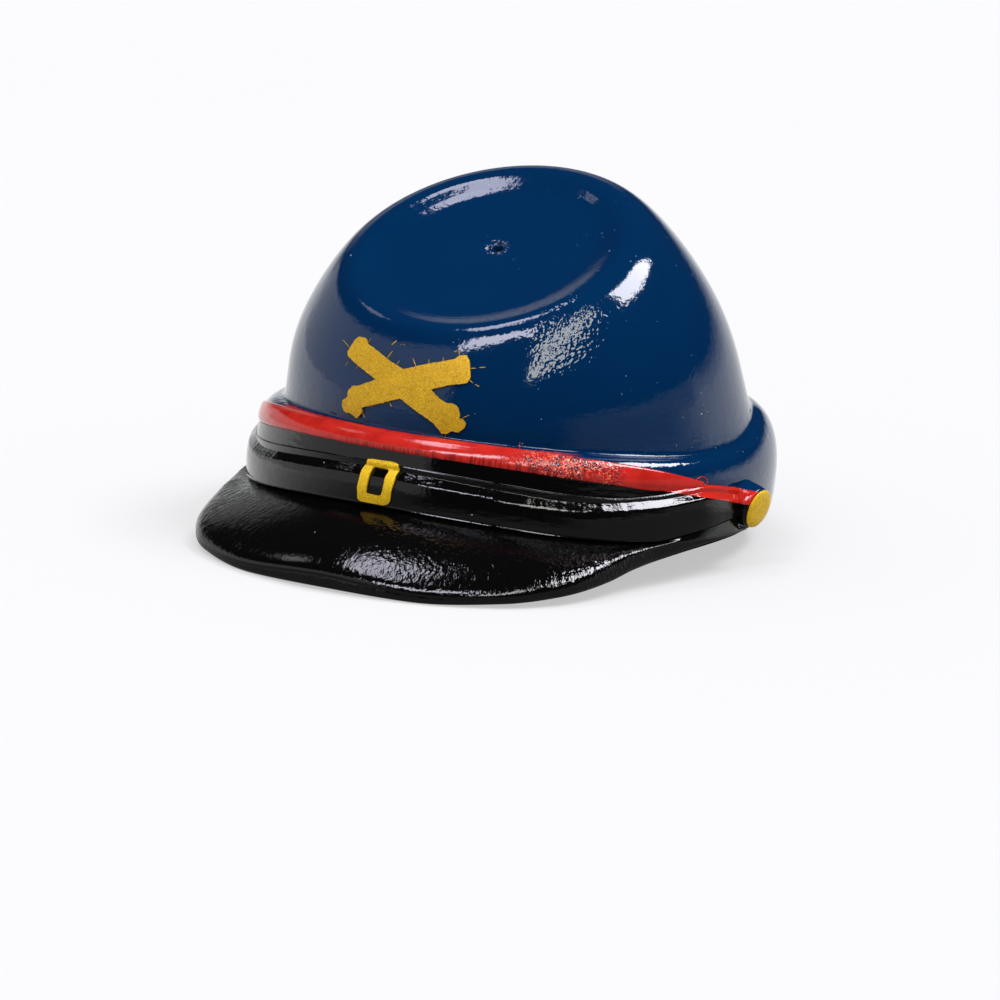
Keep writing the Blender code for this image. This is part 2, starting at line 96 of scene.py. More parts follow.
SHARP = math.radians(60)        # edges that turn more than this look sharp
WELD = 1e-5             # points nearer than this are one

# Crown
TOP_CENTRE = Vector((0.0, -2.50, 4.300))
TOP_TILT = math.radians(31.5)
FOOT_RADIUS = 5.925
CREST_RADIUS = 3.32
# Measures that steer the side's curve: terms in the powers of the cosine of the angle
CREST_PULL = (0.90, -0.443, -0.128)
CREST_BELLY = (-0.097, 0.035)
FOOT_BELLY = (0.989, -0.80)
FOOT_PULL = (0.327, -0.099)
FOOT_LEAN = (-0.313, 0.458, -0.079)
# The sunken top: depth at each radius, as a share of its full depth
DISH_ROWS = (
    ("radius", "depth"),
    (0.0, 1.0),
    (2.30, 1.0),
    (2.45, 0.972),
    (2.60, 0.880),
    (2.80, 0.653),
    (3.00, 0.336),
    (3.12, 0.146),
    (3.22, 0.037),
    (3.32, 0.0),
)
RIPPLE_MIDDLE = 2.85    # ripples on its sloping wall
RIPPLE_REACH = 0.45
RIPPLE_DEPTH = 0.0016
RING_RADIUS = 1.82      # faint mould ring, a little off the top's middle
RING_DEPTH = 0.004
RING_EDGE = 0.07
RING_OFFSET = 0.13
RING_TOWARDS = math.radians(50)
GATE_BACK = 0.30        # the moulding's gate lies this far behind the top's middle
CUP_RADIUS = 0.46       # shallow cup round the gate
CUP_DEPTH = 0.045
PIT_RADIUS = 0.15       # pit where it broke off, and the ragged burr round that
PIT_DEPTH = 0.30
PIT_EDGE = 0.07
BURR_RADIUS = 0.23
BURR_REACH = 0.13
BURR_HEIGHT = 0.07
CRACKLE = (3.45, -4.15, 2.75)           # middle of the crackled patch of gloss
CRACKLE_OUTER = 1.35    # distances from there where the patch ends and where it is full
CRACKLE_INNER = 0.75

# Hollow inside the crown
HOLLOW_ROWS = (
    ("height", "middle_y", "radius"),
    (-1.75, 0.0, 5.15),
    (-0.20, 0.0, 5.15),
    (0.45, -0.12, 5.00),
    (1.10, -0.30, 4.72),
    (1.70, -0.46, 4.40),
    (2.02, -0.54, 4.18),
    (2.10, -0.55, 4.02),
)
HOLLOW_MOUTH = 5.30     # radius of its bevelled mouth

# Band: roll, strap, piping and peak wrap an axis a little in front of the crown's
BAND_AXIS_Y = -0.17
ROLL_FULL_Z = -0.64     # height of the roll's fullest line
ROLL_SQUARENESS = 2.2   # exponent of its section above that line: 2 is an ellipse
SQUARER_IN_FRONT = 0.2  # more of it at the front, as much less at the back
RIM_SQUARENESS = 2.6    # exponent below that line
ROLL_UNDERCUT = 0.40    # the roll pulls in by this at the rim
GAP = 0.022             # between pieces that touch
PIPING_END = 75.0       # degrees from the front where these pieces end
STRAP_END = 90.0
PEAK_END = 93.0
PEAK_ROOT = 6.47        # radius where the peak's upper face begins
PEAK_HOLLOW = 0.20      # rise of its underside
LEAST_FACE = 0.04       # least width of its upper face
TEETH_MIDDLE = 18.0     # degrees; the fine teeth of the piping's low edge
TEETH_REACH = 26.0
TEETH_LENGTH = 0.03
STRAP_WALL = 6.415      # least radius of the low wall under the piping
STRAP_FLARE = 0.018     # its edge turns out over the peak by this in front
STRAP_NARROWING = 0.09  # its face comes in by this at the round ends
STRAP_WAVE = 0.014      # unevenness of its shelf
LIP_START = 60.0        # degrees where the peak's upper face narrows to the lip
LIP_FACE = 0.05
FLANGE_RADIUS = 6.36    # of the peak's thin wall behind the lip

# Heights of the band's lines at each angle from the front, in degrees
HEIGHTS = (
    ("angle", "crease", "piping_top", "piping_low", "strap_top", "strap_low", "rim"),
    (0.0, 0.00, -0.01, -0.42, -0.70, -1.75, -2.25),
    (15.0, 0.00, -0.01, -0.43, -0.74, -1.79, -2.26),
    (28.0, 0.00, -0.02, -0.47, -0.82, -1.86, -2.29),
    (40.0, 0.00, -0.06, -0.55, -0.91, -1.94, -2.32),
    (52.0, 0.00, -0.13, -0.64, -0.95, -1.98, -2.33),
    (62.0, 0.00, -0.25, -0.74, -0.85, -1.95, -2.27),
    (70.0, 0.01, -0.40, -0.74, -0.71, -1.78, -2.13),
    (76.0, 0.04, -0.52, -0.70, -0.63, -1.64, -2.01),
    (90.0, 0.20, -0.60, -0.68, -0.74, -1.40, -1.84),
    (105.0, 0.60, -0.60, -0.68, -0.66, -1.40, -1.88),
    (120.0, 0.93, -0.60, -0.68, -0.66, -1.40, -1.98),
    (150.0, 1.12, -0.60, -0.68, -0.66, -1.40, -2.08),
    (180.0, 1.18, -0.60, -0.68, -0.66, -1.40, -2.12),
)

# The peak's edge: its radius, its lowest height, its thickness, and the drop of the face to it
PEAK_EDGE = (
    ("angle", "radius", "bottom", "thick", "shoulder"),
    (0.0, 8.65, -3.606, 0.34, 0.34),
    (15.0, 8.63, -3.626, 0.24, 0.34),
    (30.0, 8.46, -3.44, 0.19, 0.33),
    (40.0, 8.06, -3.20, 0.21, 0.32),
    (50.0, 7.35, -2.87, 0.32, 0.32),
    (56.0, 6.98, -2.61, 0.36, 0.26),
    (62.0, 6.76, -2.41, 0.38, 0.12),
    (70.0, 6.62, -2.19, 0.24, 0.06),
    (76.0, 6.57, -2.06, 0.16, 0.05),
    (80.0, 6.54, -1.985, 0.10, 0.05),
    (86.0, 6.50, -1.88, 0.06, 0.05),
    (93.0, 6.46, -1.76, 0.05, 0.05),
)

# Red paint that runs over the strap's upper edge, round from the front: its lower border, and
# its upper one beyond the angle where the roll's navy comes down over it
RED_OVER_STRAP = (
    ("angle", "low"),
    (0.0, -0.70),
    (62.0, -0.72),
    (66.0, -0.77),
    (72.5, -0.857),
    (76.0, -0.90),
    (81.0, -0.975),
    (88.0, -1.10),
    (93.0, -1.18),
    (99.0, -1.25),
)
NAVY_OVER_STRAP = (
    ("angle", "low"),
    (0.0, -0.40),
    (78.0, -0.58),
    (84.0, -0.66),
    (88.0, -0.74),
    (93.0, -0.84),
    (99.0, -0.97),
)

# The strap's sloping shelf: how far its middle lies below the top, and half its height
SHELF = (
    ("angle", "drop", "half"),
    (0.0, 0.24, 0.105),
    (40.0, 0.29, 0.105),
    (58.0, 0.19, 0.095),
    (68.0, 0.20, 0.070),
    (90.0, 0.20, 0.060),
)

# Buckle: its middle, and its outline, ridge and opening
BUCKLE_MIDDLE = (0.05, -1.175)
BUCKLE_LOOPS = (
    ("half_width", "half_height", "squareness"),
    (0.470, 0.525, 5.0),
    (0.355, 0.415, 6.0),
    (0.225, 0.305, 9.0),
)
BUCKLE_SKEW = 0.08
BUCKLE_STEPS = 128      # points round each of its loops
BUCKLE_RINGS = 6        # rings of faces between two of them
BUCKLE_WOBBLE = 0.03    # unevenness of its printed outline
TRIM_THICK = 0.05

# Crossed cannons: the outline, round from the left muzzle's upper corner
BADGE_OUTLINE = (
    (-1.53, 2.03), (-1.39, 2.02), (-1.30, 1.91), (-0.85, 1.76), (-0.56, 1.64), (-0.24, 1.54),
    (-0.06, 1.48), (0.26, 1.60), (0.48, 1.68), (0.82, 1.78), (1.18, 1.90), (1.28, 2.00),
    (1.42, 2.02), (1.52, 1.94), (1.60, 1.71), (1.65, 1.50), (1.60, 1.38), (1.50, 1.36),
    (1.20, 1.29), (0.76, 1.12), (1.02, 0.94), (1.21, 0.86), (1.38, 0.88), (1.51, 0.78),
    (1.56, 0.62), (1.54, 0.54), (1.64, 0.54), (1.72, 0.45), (1.70, 0.33), (1.55, 0.20),
    (1.40, 0.23), (1.29, 0.14), (1.16, 0.13), (1.05, 0.25), (0.89, 0.38), (0.71, 0.46),
    (0.37, 0.62), (0.01, 0.80), (-0.15, 0.75), (-0.61, 0.58), (-1.10, 0.42), (-1.06, 0.30),
    (-1.22, 0.13), (-1.41, 0.22), (-1.63, 0.22), (-1.75, 0.36), (-1.73, 0.48), (-1.58, 0.59),
    (-1.59, 0.72), (-1.46, 0.88), (-1.24, 0.92), (-0.78, 1.13), (-1.17, 1.28), (-1.58, 1.43),
    (-1.81, 1.53), (-1.85, 1.63), (-1.79, 1.75), (-1.72, 1.92), (-1.63, 2.01),
)
BADGE_MIDDLE = (-0.05, 1.155)
BADGE_ROUNDING = 0.04   # reach of the rounding of its corners
BADGE_STEP = 0.03       # between points of its outline
BADGE_WOBBLE = 0.016    # unevenness of its printed outline
BADGE_CUTS = 40         # cuts across it to each side of its middle, and the way between them
BADGE_CELL = 0.05
BADGE_SHIFT = 0.013     # keeps the cuts off the outline's points

# Round ends of the strap with their buttons
BOSS_HEIGHT = -1.11
BOSS_FORWARD = -0.02
BOSS_RADIUS = 0.57
BOSS_DROOP = math.radians(14)
BOSS_INNER = 6.42
BOSS_PROFILE = (        # distance from the axis and along it
    (0.0, -0.20), (0.54, -0.18), (0.53, 0.02), (0.53, 0.14), (0.525, 0.24), (0.515, 0.285),
    (0.50, 0.312), (0.44, 0.325), (0.0, 0.33),
)
SIDES = (("left", 1), ("right", -1))
BUTTON_PROFILE = (
    (0.0, 0.342), (0.47, 0.335), (0.488, 0.358), (0.472, 0.386), (0.42, 0.404), (0.30, 0.414),
    (0.0, 0.42),
)

WISP_LEAST = 0.22       # a stray hair's radius at its ends, as a share of its row's
WISP_SWELL = 0.42       # and what is added to that in its middle
WISP_SIDES = 8
# Hairs and specks of stray paint: radius, then the points that each runs through
GOLD_WISPS = (
    (0.012, (-2.19, -5.29, 1.87), (-1.89, -5.44, 1.74)),
    (0.012, (-1.28, -5.55, 2.07), (-1.33, -5.56, 1.94)),
    (0.010, (-1.80, -5.56, 1.43), (-1.89, -5.56, 1.29)),
    (0.010, (-1.44, -5.67, 1.37), (-1.51, -5.67, 1.28)),
    (0.026, (-0.60, -5.63, 1.99), (-0.50, -5.60, 2.11)),
    (0.024, (-0.34, -5.64, 2.03)),
    (0.022, (-0.26, -5.63, 2.05)),
    (0.018, (-0.64, -5.71, 1.64), (-0.53, -5.68, 1.86)),
    (0.010, (-0.32, -5.78, 1.56), (-0.27, -5.76, 1.67)),
    (0.012, (0.22, -5.77, 1.60), (0.08, -5.73, 1.78)),
    (0.010, (0.54, -5.73, 1.70), (0.51, -5.70, 1.82)),
    (0.010, (0.90, -5.72, 1.80), (0.86, -5.63, 1.91)),
    (0.010, (1.27, -5.60, 1.99), (1.17, -5.49, 2.18)),
    (0.014, (1.57, -5.53, 1.74), (1.72, -5.49, 1.77)),
    (0.016, (1.78, -5.46, 1.79), (1.93, -5.41, 1.82)),
    (0.012, (1.60, -5.60, 1.49), (1.73, -5.58, 1.41)),
    (0.012, (1.78, -5.57, 1.39), (1.89, -5.55, 1.35)),
    (0.012, (1.63, -5.79, 0.56), (1.78, -5.70, 0.66)),
    (0.018, (1.89, -5.64, 0.70)),
    (0.016, (1.29, -5.75, 1.13)),
    (0.018, (1.10, -5.41, 2.36)),
    (0.016, (-0.31, -5.94, 0.66), (-0.25, -5.94, 0.56)),
    (0.012, (-1.12, -5.84, 0.31), (-1.02, -5.85, 0.18)),
    (0.010, (1.24, -5.81, 0.03), (1.24, -5.80, 0.15)),
)
RED_WISPS = (
    (0.012, (2.47, -5.38, 0.06), (2.76, -5.68, -0.03)),
    (0.010, (2.68, -5.38, 0.04), (2.92, -5.58, -0.02)),
    (0.014, (2.91, -5.12, 0.16), (3.11, -5.45, -0.01), (3.23, -5.47, -0.05)),
    (0.012, (3.44, -4.89, 0.03), (3.68, -5.20, -0.08)),
    (0.018, (4.17, -4.25, 0.02)),
    (0.016, (4.77, -3.75, -0.01)),
    (0.020, (5.82, 0.12, 0.36)),
    (0.018, (6.28, -0.98, -0.34)),
    (
        0.020, (6.14, -2.10, -0.53), (6.11, -1.98, -0.44), (6.11, -1.84, -0.40),
        (6.15, -1.71, -0.42), (6.19, -1.64, -0.50), (6.19, -1.66, -0.58),
        (6.19, -1.78, -0.62),
    ),
)

# Each piece's material, the solid that it stands in for, and its slot
PIECES = {
    "crown_moulding": ("navy_gloss", "crown_shell", "navy_plastic"),
    "red_piping": ("red_gloss", "piping", "red_paint"),
    "strap_band": ("black_gloss_strap", "chin_strap", "black_paint"),
    "strap_end_left": ("black_gloss_strap", None, "black_paint"),
    "strap_end_right": ("black_gloss_strap", None, "black_paint"),
    "peak_moulding": ("black_gloss_peak", "peak", "black_gloss"),
    "buckle_frame": ("gold_ink_buckle", "buckle", "gold_buckle"),
    "cannon_badge": ("gold_ink_badge", "crossed_cannons", "gold_badge"),
    "button_left": ("gold_ink_buttons", "side_button_left", "gold_side_button_left"),
    "button_right": ("gold_ink_buttons", "side_button_right", "gold_side_button_right"),
    "gold_wisps": ("gold_ink_badge", None, "gold_badge"),
    "red_wisps": ("red_gloss", None, "red_paint"),
}

# Waves of each gloss coat: how many, their depth, and the depth of the finer ones on them
PEEL = {
    "navy": (4.6, 0.0042, 0.0014),
    "black": (6.0, 0.0035, 0.0022),
    "red": (8.0, 0.003, 0.001),
}
PALE_SPECKS = ((3.0, 0.020, 0.30), (6.0, 0.011, 0.42))  # crowding, size, share at the left
CREASE_RED_END = 46.0   # degrees from the front where the red in the crease fades out
CREASE_RED_TOP = -0.03  # heights between which it lies
CREASE_RED_LOW = -0.35
RED_OVER_START = 62.0   # degrees where the red and the navy begin to run over the strap
NAVY_OVER_START = 79.0
SCRAPES_AND_SHEEN = (             # scrape marks in the red, the last of them a pale painted highlight: scale, offset, least value of noise, colour
    (8.5, (0.0, 0.0, 0.0), 0.56, (0.010, 0.016, 0.045, 1.0)),
    (10.0, (7.0, 3.0, 1.0), 0.58, (0.020, 0.006, 0.008, 1.0)),
    (13.0, (2.0, 9.0, 4.0), 0.60, (0.72, 0.12, 0.07, 1.0)),
    (13.0, (5.0, 5.0, 8.0), 0.68, (0.62, 0.42, 0.24, 1.0)),
)
GOLD_GRAINS = 52.0      # how close the grains of the gold ink lie
GOLD_METAL = 0.45

# Studio: panels of light as patches of the air round the cap, in degrees from its front and up,
# with sides named as they are seen from in front
LIGHTS = (
    ("name", "left", "right", "low", "high", "slope", "edge", "brightness", "tint"),
    ("left_wall", -122.0, -8.0, -14.0, 27.0, 0.25, 2.5, 0.60, (0.97, 0.98, 1.0)),
    ("right_low_wall", 35.0, 135.0, -14.0, 4.5, 0.11, 3.5, 0.30, (0.95, 0.98, 1.0)),
    ("back_wall", 130.0, 242.0, -14.0, 6.0, 0.0, 10.0, 1.00, (0.95, 0.98, 1.0)),
    ("back_card", 205.0, 235.0, 14.0, 31.0, 0.0, 8.0, 0.40, (1.0, 1.0, 1.0)),
    ("left_card", -97.0, -82.0, 43.5, 51.0, 0.0, 2.0, 1.60, (1.0, 0.97, 1.0)),
    ("front_box", -13.0, 26.0, 46.0, 59.0, 0.45, 1.0, 13.0, (0.88, 0.87, 1.0)),
    ("right_box", 30.0, 76.0, 41.0, 55.0, 0.62, 1.5, 9.0, (0.98, 1.0, 0.94)),
    ("side_box", 103.0, 152.0, 45.5, 63.0, -0.12, 2.0, 19.0, (0.93, 0.93, 1.0)),
    ("top_box", -119.0, -38.0, 67.0, 76.5, 0.0, 2.0, 9.0, (0.86, 0.85, 1.0)),
)
PANEL_SIDES = ("left", "right", "low", "high", "slope", "edge")
AIR_GLOW = (0.015, 0.015, 0.015, 1.0)   # the air between the panels
DOME = 1.4              # soft light from above, which only dull surfaces gather
LATER_BOUNCES = 0.35    # share of the light that reaches reflections of reflections
BACKDROP = 0.985        # the air behind the cap
FLOOR_RADIUS = 1.2
FLOOR_SHADES = (0.412, 0.422)
FLOOR_GLOW = 1.01       # evens out the floor's shadow
FLOOR_GLOSS = (0.20, 0.80)      # its brightness in the gloss, and what is added behind the cap
FLOOR_DIM = (45.0, 58.0, 98.0, -60.0, -140.0)   # middle of its dim part, then where that ends
FLOOR_DARK = (24.0, 20.0, 38.0)         # middle of its dark part, then where that ends
FLOOR_LIT_REACH = (0.0105, 0.015)       # the dark part begins this far out, in metres
SENSOR_WIDTH = 36.0
AIM = (-0.608, -2.01)   # what the camera looks at: to its right and up from the cap's middle


# Tables and curves

def column(rows, name):
    index = rows[0].index(name)
    return [row[index] for row in rows[1:]]


@functools.lru_cache(maxsize=None)
def look_up(rows, name, at):
    """A smooth curve through one column of a table, read at a value of its first column."""
    xs = column(rows, rows[0][0])
    ys = column(rows, name)
    at = min(max(at, xs[0]), xs[-1])
    i = max(k for k in range(len(xs) - 1) if xs[k] <= at)
    steps = [(ys[k + 1] - ys[k]) / (xs[k + 1] - xs[k]) for k in range(len(xs) - 1)]

    def slope(k):
        if k == 0 or k == len(xs) - 1:
            return 0.0
        before, after = steps[k - 1], steps[k]
        if before * after <= 0.0:
            return 0.0
        return 2.0 * before * after / (before + after)

    width = xs[i + 1] - xs[i]
    t = (at - xs[i]) / width
    rise = ys[i] * (1 + 2 * t) * (1 - t) ** 2 + ys[i + 1] * t * t * (3 - 2 * t)
    return rise + width * (slope(i) * t * (1 - t) ** 2 - slope(i + 1) * t * t * (1 - t))


def height(name, angle):
    """A height of the band at an angle from the front, the same on both sides."""
    degrees = abs(math.degrees(angle)) % 360.0
    return look_up(HEIGHTS, name, min(degrees, 360.0 - degrees))


def peak_edge(name, angle):
    return look_up(PEAK_EDGE, name, abs(math.degrees(angle)))


def spread(start, end, steps):
    return [start + (end - start) * k / steps for k in range(steps + 1)]


def ease(x):
    x = min(max(x, 0.0), 1.0)
    return x * x * (3 - 2 * x)


def hump(x, width):
    """1 at zero, falling smoothly to 0 at width on both sides."""
    return ease(1.0 - abs(x) / width)


def soften(corners, steps):
    """Points round a section whose corners (x, z, reach of the rounding) are made round."""
    points = []
    count = len(corners)
    for index, (x, z, reach) in enumerate(corners):
        here = Vector((x, z))
        if reach == 0.0:
            points.append(here)
            continue
        ends = []
        for other in (corners[index - 1], corners[(index + 1) % count]):
            away = Vector(other[:2]) - here
            ends.append(here + away.normalized() * min(reach, 0.49 * away.length))
        for t in spread(0.0, 1.0, steps):
            points.append((1 - t) ** 2 * ends[0] + 2 * t * (1 - t) * here + t * t * ends[1])
    return points


# Shapes that the pieces share

def outward(angle, tilt=0.0):
    """Unit direction away from the middle, in a round section that leans forward by tilt."""
    forward = -math.cos(angle)
    return Vector((math.sin(angle), forward * math.cos(tilt), forward * math.sin(tilt)))


def top_normal():
    return Vector((0.0, -math.sin(TOP_TILT), math.cos(TOP_TILT)))


def swing(terms, angle):
    """A measure that changes round the cap with the powers of the angle's cosine."""
    return sum(term * math.cos(angle) ** power for power, term in enumerate(terms))


@functools.lru_cache(maxsize=None)
def side_curve(angle):
    """The six points that steer the crown's side at an angle, from its foot to the crest."""
    foot = FOOT_RADIUS * outward(angle)
    crest = TOP_CENTRE + CREST_RADIUS * outward(angle, TOP_TILT)
    lean = swing(FOOT_LEAN, angle)
    up = Vector((0.0, 0.0, math.cos(lean))) + math.sin(lean) * outward(angle)
    low = foot + swing(FOOT_PULL, angle) * (crest - foot).length * up
    high = crest + swing(CREST_PULL, angle) * outward(angle, TOP_TILT)
    out = outward(angle, TOP_TILT / 2)
    low_belly = low.lerp(high, 1 / 3) + swing(FOOT_BELLY, angle) * out
    high_belly = low.lerp(high, 2 / 3) + swing(CREST_BELLY, angle) * out
    return foot, low, low_belly, high_belly, high, crest


def side_point(angle, share):
    """A point on the crown's side, from its foot at 0 to the crest at 1."""
    point = Vector()
    for index, corner in enumerate(side_curve(angle)):
        weight = math.comb(5, index) * share ** index * (1.0 - share) ** (5 - index)
        point += weight * corner
    return point


def halve(test, low, high, times):
    """The greatest value between low and high that passes a test, found by halving."""
    for _ in range(times):
        middle = (low + high) / 2
        if test(middle):
            low = middle
        else:
            high = middle
    return low


@functools.lru_cache(maxsize=None)
def crease_share(angle):
    """How far up the side's curve the crease lies."""
    crease = height("crease", angle)
    return halve(lambda share: side_point(angle, share).z < crease, 0.0, 1.0, 30)


def around(angle, radius, z):
    """A point at a radius from the band's axis."""
    point = radius * outward(angle)
    return Vector((point.x, point.y + BAND_AXIS_Y, z))


@functools.lru_cache(maxsize=None)
def crease_radius(angle):
    foot = side_point(angle, crease_share(angle))
    return math.hypot(foot.x, foot.y - BAND_AXIS_Y)


def roll_section(angle, turn):
    """Radius and height on the roll: turn 0 is the crease, 1 its fullest line and 2 the rim."""
    roll_radius = bpy.context.scene.kepi_shape.roll_radius / MM
    if turn <= 1.0:
        power = 2.0 / (ROLL_SQUARENESS + SQUARER_IN_FRONT * math.cos(angle))
        bend = turn * math.pi / 2
        start = crease_radius(angle)
        reach = start + (roll_radius - start) * math.sin(bend) ** power
        rise = height("crease", angle) - ROLL_FULL_Z
        return reach, ROLL_FULL_Z + rise * max(math.cos(bend), 0.0) ** power
    power = 2.0 / RIM_SQUARENESS
    bend = (turn - 1.0) * math.pi / 2
    reach = roll_radius - ROLL_UNDERCUT * (1 - max(math.cos(bend), 0.0) ** power)
    return reach, ROLL_FULL_Z - (ROLL_FULL_Z - height("rim", angle)) * math.sin(bend) ** power


def roll_turn_at(angle, z):
    return halve(lambda turn: roll_section(angle, turn)[1] > z, 0.0, 2.0, 24)


def off_roll(angle, turn, lift):
    """Radius and height of a point that stands off the roll's surface by lift."""
    step = 0.02
    before = roll_section(angle, max(turn - step, 0.0))
    after = roll_section(angle, min(turn + step, 2.0))
    along = Vector((after[0] - before[0], after[1] - before[1])).normalized()
    reach, z = roll_section(angle, turn)
    return reach - along.y * lift, z + along.x * lift


# Mesh helpers

def strip(bm, rings):
    """A surface through rings of points, each extruded from the one before. Its end loops."""
    place = bm.verts.layers.int.get("place") or bm.verts.layers.int.new("place")
    verts = bmesh.ops.create_circle(bm, segments=len(rings[0]), radius=1.0)["verts"]
    first = list(dict.fromkeys(edge for vert in verts for edge in vert.link_edges))
    for index, vert in enumerate(verts):
        vert[place] = index
        vert.co = rings[0][index]
    last = first
    for ring in rings[1:]:
        new = bmesh.ops.extrude_edge_only(bm, edges=last)["geom"]
        for vert in new:
            if isinstance(vert, bmesh.types.BMVert):
                vert.co = ring[vert[place]]
        last = [
            item for item in new
            if isinstance(item, bmesh.types.BMEdge) and len(item.link_faces) == 1
        ]
    return first, last


def loft(rings, bm=None):
    """A closed body through rings of points."""
    bm = bm or bmesh.new()
    for loop in strip(bm, rings):
        bmesh.ops.contextual_create(bm, geom=loop)
    return bm


def turned_body(profile):
    """A round body about Z from a profile of distances from the axis and along it."""
    bm = bmesh.new()
    verts = [bm.verts.new((reach, 0.0, along)) for reach, along in profile]
    edges = [bm.edges.new(pair) for pair in zip(verts, verts[1:])]
    bmesh.ops.spin(
        bm, geom=verts + edges, cent=(0, 0, 0), axis=(0, 0, 1), angle=2 * math.pi,
        steps=ROUND_BODY, use_merge=True,
    )
    return bm


def round_off(rings, middle, reach, times):
    """Rounds the crease at a ring by evening out the rings on both sides of it."""
    for _ in range(times):
        old = [list(ring) for ring in rings[middle - reach - 1:middle + reach + 2]]
        for k in range(1, len(old) - 1):
            rings[middle - reach - 1 + k] = [
                (a + 2 * b + c) / 4 for a, b, c in zip(old[k - 1], old[k], old[k + 1])
            ]


def turned_ring(point_at):
    return [point_at(2 * math.pi * k / AROUND) for k in range(AROUND)]


def wrap(section_at, end_angle, step=WRAP_STEP):
    """A body that wraps the front of the roll, lofted through sections from side to side."""
    steps = round(2 * end_angle / step)
    rings = []
    for degrees in spread(-end_angle, end_angle, steps):
        angle = math.radians(degrees)
        rings.append([around(angle, reach, z) for reach, z in section_at(angle)])
    return loft(rings)


def finish_piece(name, bm):
    """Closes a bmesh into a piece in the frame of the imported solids, riding on the cap."""
    material, node, slot = PIECES[name]
    bmesh.ops.remove_doubles(bm, verts=bm.verts, dist=WELD)
    bmesh.ops.recalc_face_normals(bm, faces=bm.faces)
    bmesh.ops.transform(bm, matrix=CAP_TO_WORLD, verts=bm.verts)
    mesh = bpy.data.meshes.new(name)
    bm.to_mesh(mesh)
    bm.free()
    mesh.shade_smooth()
    mesh.set_sharp_from_angle(angle=SHARP)
    mesh.materials.append(bpy.data.materials[material])
    piece = bpy.data.objects.new(name, mesh)
    bpy.context.scene.collection.objects.link(piece)
    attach(piece, "root")
    if node:
        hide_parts(node)


def piece_tree(name):
    """The faces of a finished piece in the cap's own frame, to find places on it."""
    bm = bmesh.new()
    bm.from_mesh(bpy.data.objects[name].data)
    bmesh.ops.transform(bm, matrix=WORLD_TO_CAP, verts=bm.verts)
    tree = BVHTree.FromBMesh(bm)
    bm.free()
    return tree


def front_surface(name):
    """Finds the point and the direction away from a piece, straight in front of an X and Z."""
    tree = piece_tree(name)
    probe = 0.02        # the direction is a mean over this distance

    def surface(x, z):
        hits = []
        for dx, dz in ((0, 0), (probe, 0), (-probe, 0), (0, probe), (0, -probe)):
            hits.append(tree.ray_cast(Vector((x + dx, -20.0, z + dz)), Vector((0, 1, 0))))
        facing = sum((hit[1] for hit in hits if hit[0]), Vector())
        return hits[0][0], facing.normalized()

    return surface


# Materials

class Graph:
    """Adds nodes to a tree, each joined to what feeds it."""

    def __init__(self, tree):
        self.tree = tree

    def fill(self, node, inputs):
        """Joins each value to the node's socket of its name, or sets it there."""
        for name, value in inputs.items():
            if isinstance(value, bpy.types.NodeSocket):
                self.tree.links.new(value, node.inputs[name])
            else:
                node.inputs[name].default_value = value

    def add(self, kind, inputs, **settings):
        node = self.tree.nodes.new(kind)
        for name, value in settings.items():
            setattr(node, name, value)
        self.fill(node, inputs)
        return node

    def calc(self, operation, a, b=0.0, c=0.0, clamp=False):
        inputs = {0: a, 1: b, 2: c}
        node = self.add("ShaderNodeMath", inputs, operation=operation, use_clamp=clamp)
        return node.outputs[0]

    def times(self, a, b):
        return self.calc("MULTIPLY", a, b)

    def plus(self, a, b):
        return self.calc("ADD", a, b)

    def minus(self, a, b):
        return self.calc("SUBTRACT", a, b)

    def times_plus(self, a, b, c):
        return self.calc("MULTIPLY_ADD", a, b, c)

    def parts(self, place):
        return self.add("ShaderNodeSeparateXYZ", {"Vector": place}).outputs

    def join(self, x, y, z=0.0):
        return self.add("ShaderNodeCombineXYZ", {"X": x, "Y": y, "Z": z}).outputs[0]

    def bearing(self, parts, middle_y=0.0):
        """Degrees round from the front, turning to +X."""
        ahead = self.minus(middle_y, parts["Y"])
        return self.times(self.calc("ARCTAN2", parts["X"], ahead), 180 / math.pi)

    def ramp(self, value, low, high, to_low=0.0, to_high=1.0):
        """The value's rise from low to high, as a smooth step."""
        inputs = {"Value": value, 1: low, 2: high, 3: to_low, 4: to_high}
        node = self.add("ShaderNodeMapRange", inputs, interpolation_type="SMOOTHSTEP")
        return node.outputs["Result"]

    def blend(self, factor, a, b, blend_type="MIX"):
        inputs = {0: factor, 6: a, 7: b}
        node = self.add("ShaderNodeMix", inputs, data_type="RGBA", blend_type=blend_type)
        return node.outputs[2]

    def noise(self, place, scale, detail=2.0, **others):
        inputs = {"Vector": place, "Scale": scale, "Detail": detail, **others}
        return self.add("ShaderNodeTexNoise", inputs).outputs["Fac"]

    def use(self, name, inputs):
        """The outputs of one of the shared groups."""
        return self.add("ShaderNodeGroup", inputs, node_tree=bpy.data.node_groups[name]).outputs

    def shift(self, place, offset=(0, 0, 0), stretch=(1, 1, 1)):
        inputs = {"Vector": place, "Location": offset, "Scale": stretch}
        return self.add("ShaderNodeMapping", inputs).outputs["Vector"]


SOCKETS = {float: "NodeSocketFloat", tuple: "NodeSocketColor", type(None): "NodeSocketVector"}


def group(name, inputs, outputs):
    """A new node group: its graph, its inputs and its output node.

    A socket's default is given with its name, as a number or a colour, or as None for a vector.
    """
    tree = bpy.data.node_groups.new(name, "ShaderNodeTree")
    for in_out, sockets in (("INPUT", inputs), ("OUTPUT", outputs)):
        for socket, value in sockets.items():
            kind = SOCKETS[type(value)]
            made = tree.interface.new_socket(socket, in_out=in_out, socket_type=kind)
            if value is not None:
                made.default_value = value
    source = tree.nodes.new("NodeGroupInput")
    return Graph(tree), source.outputs, tree.nodes.new("NodeGroupOutput")


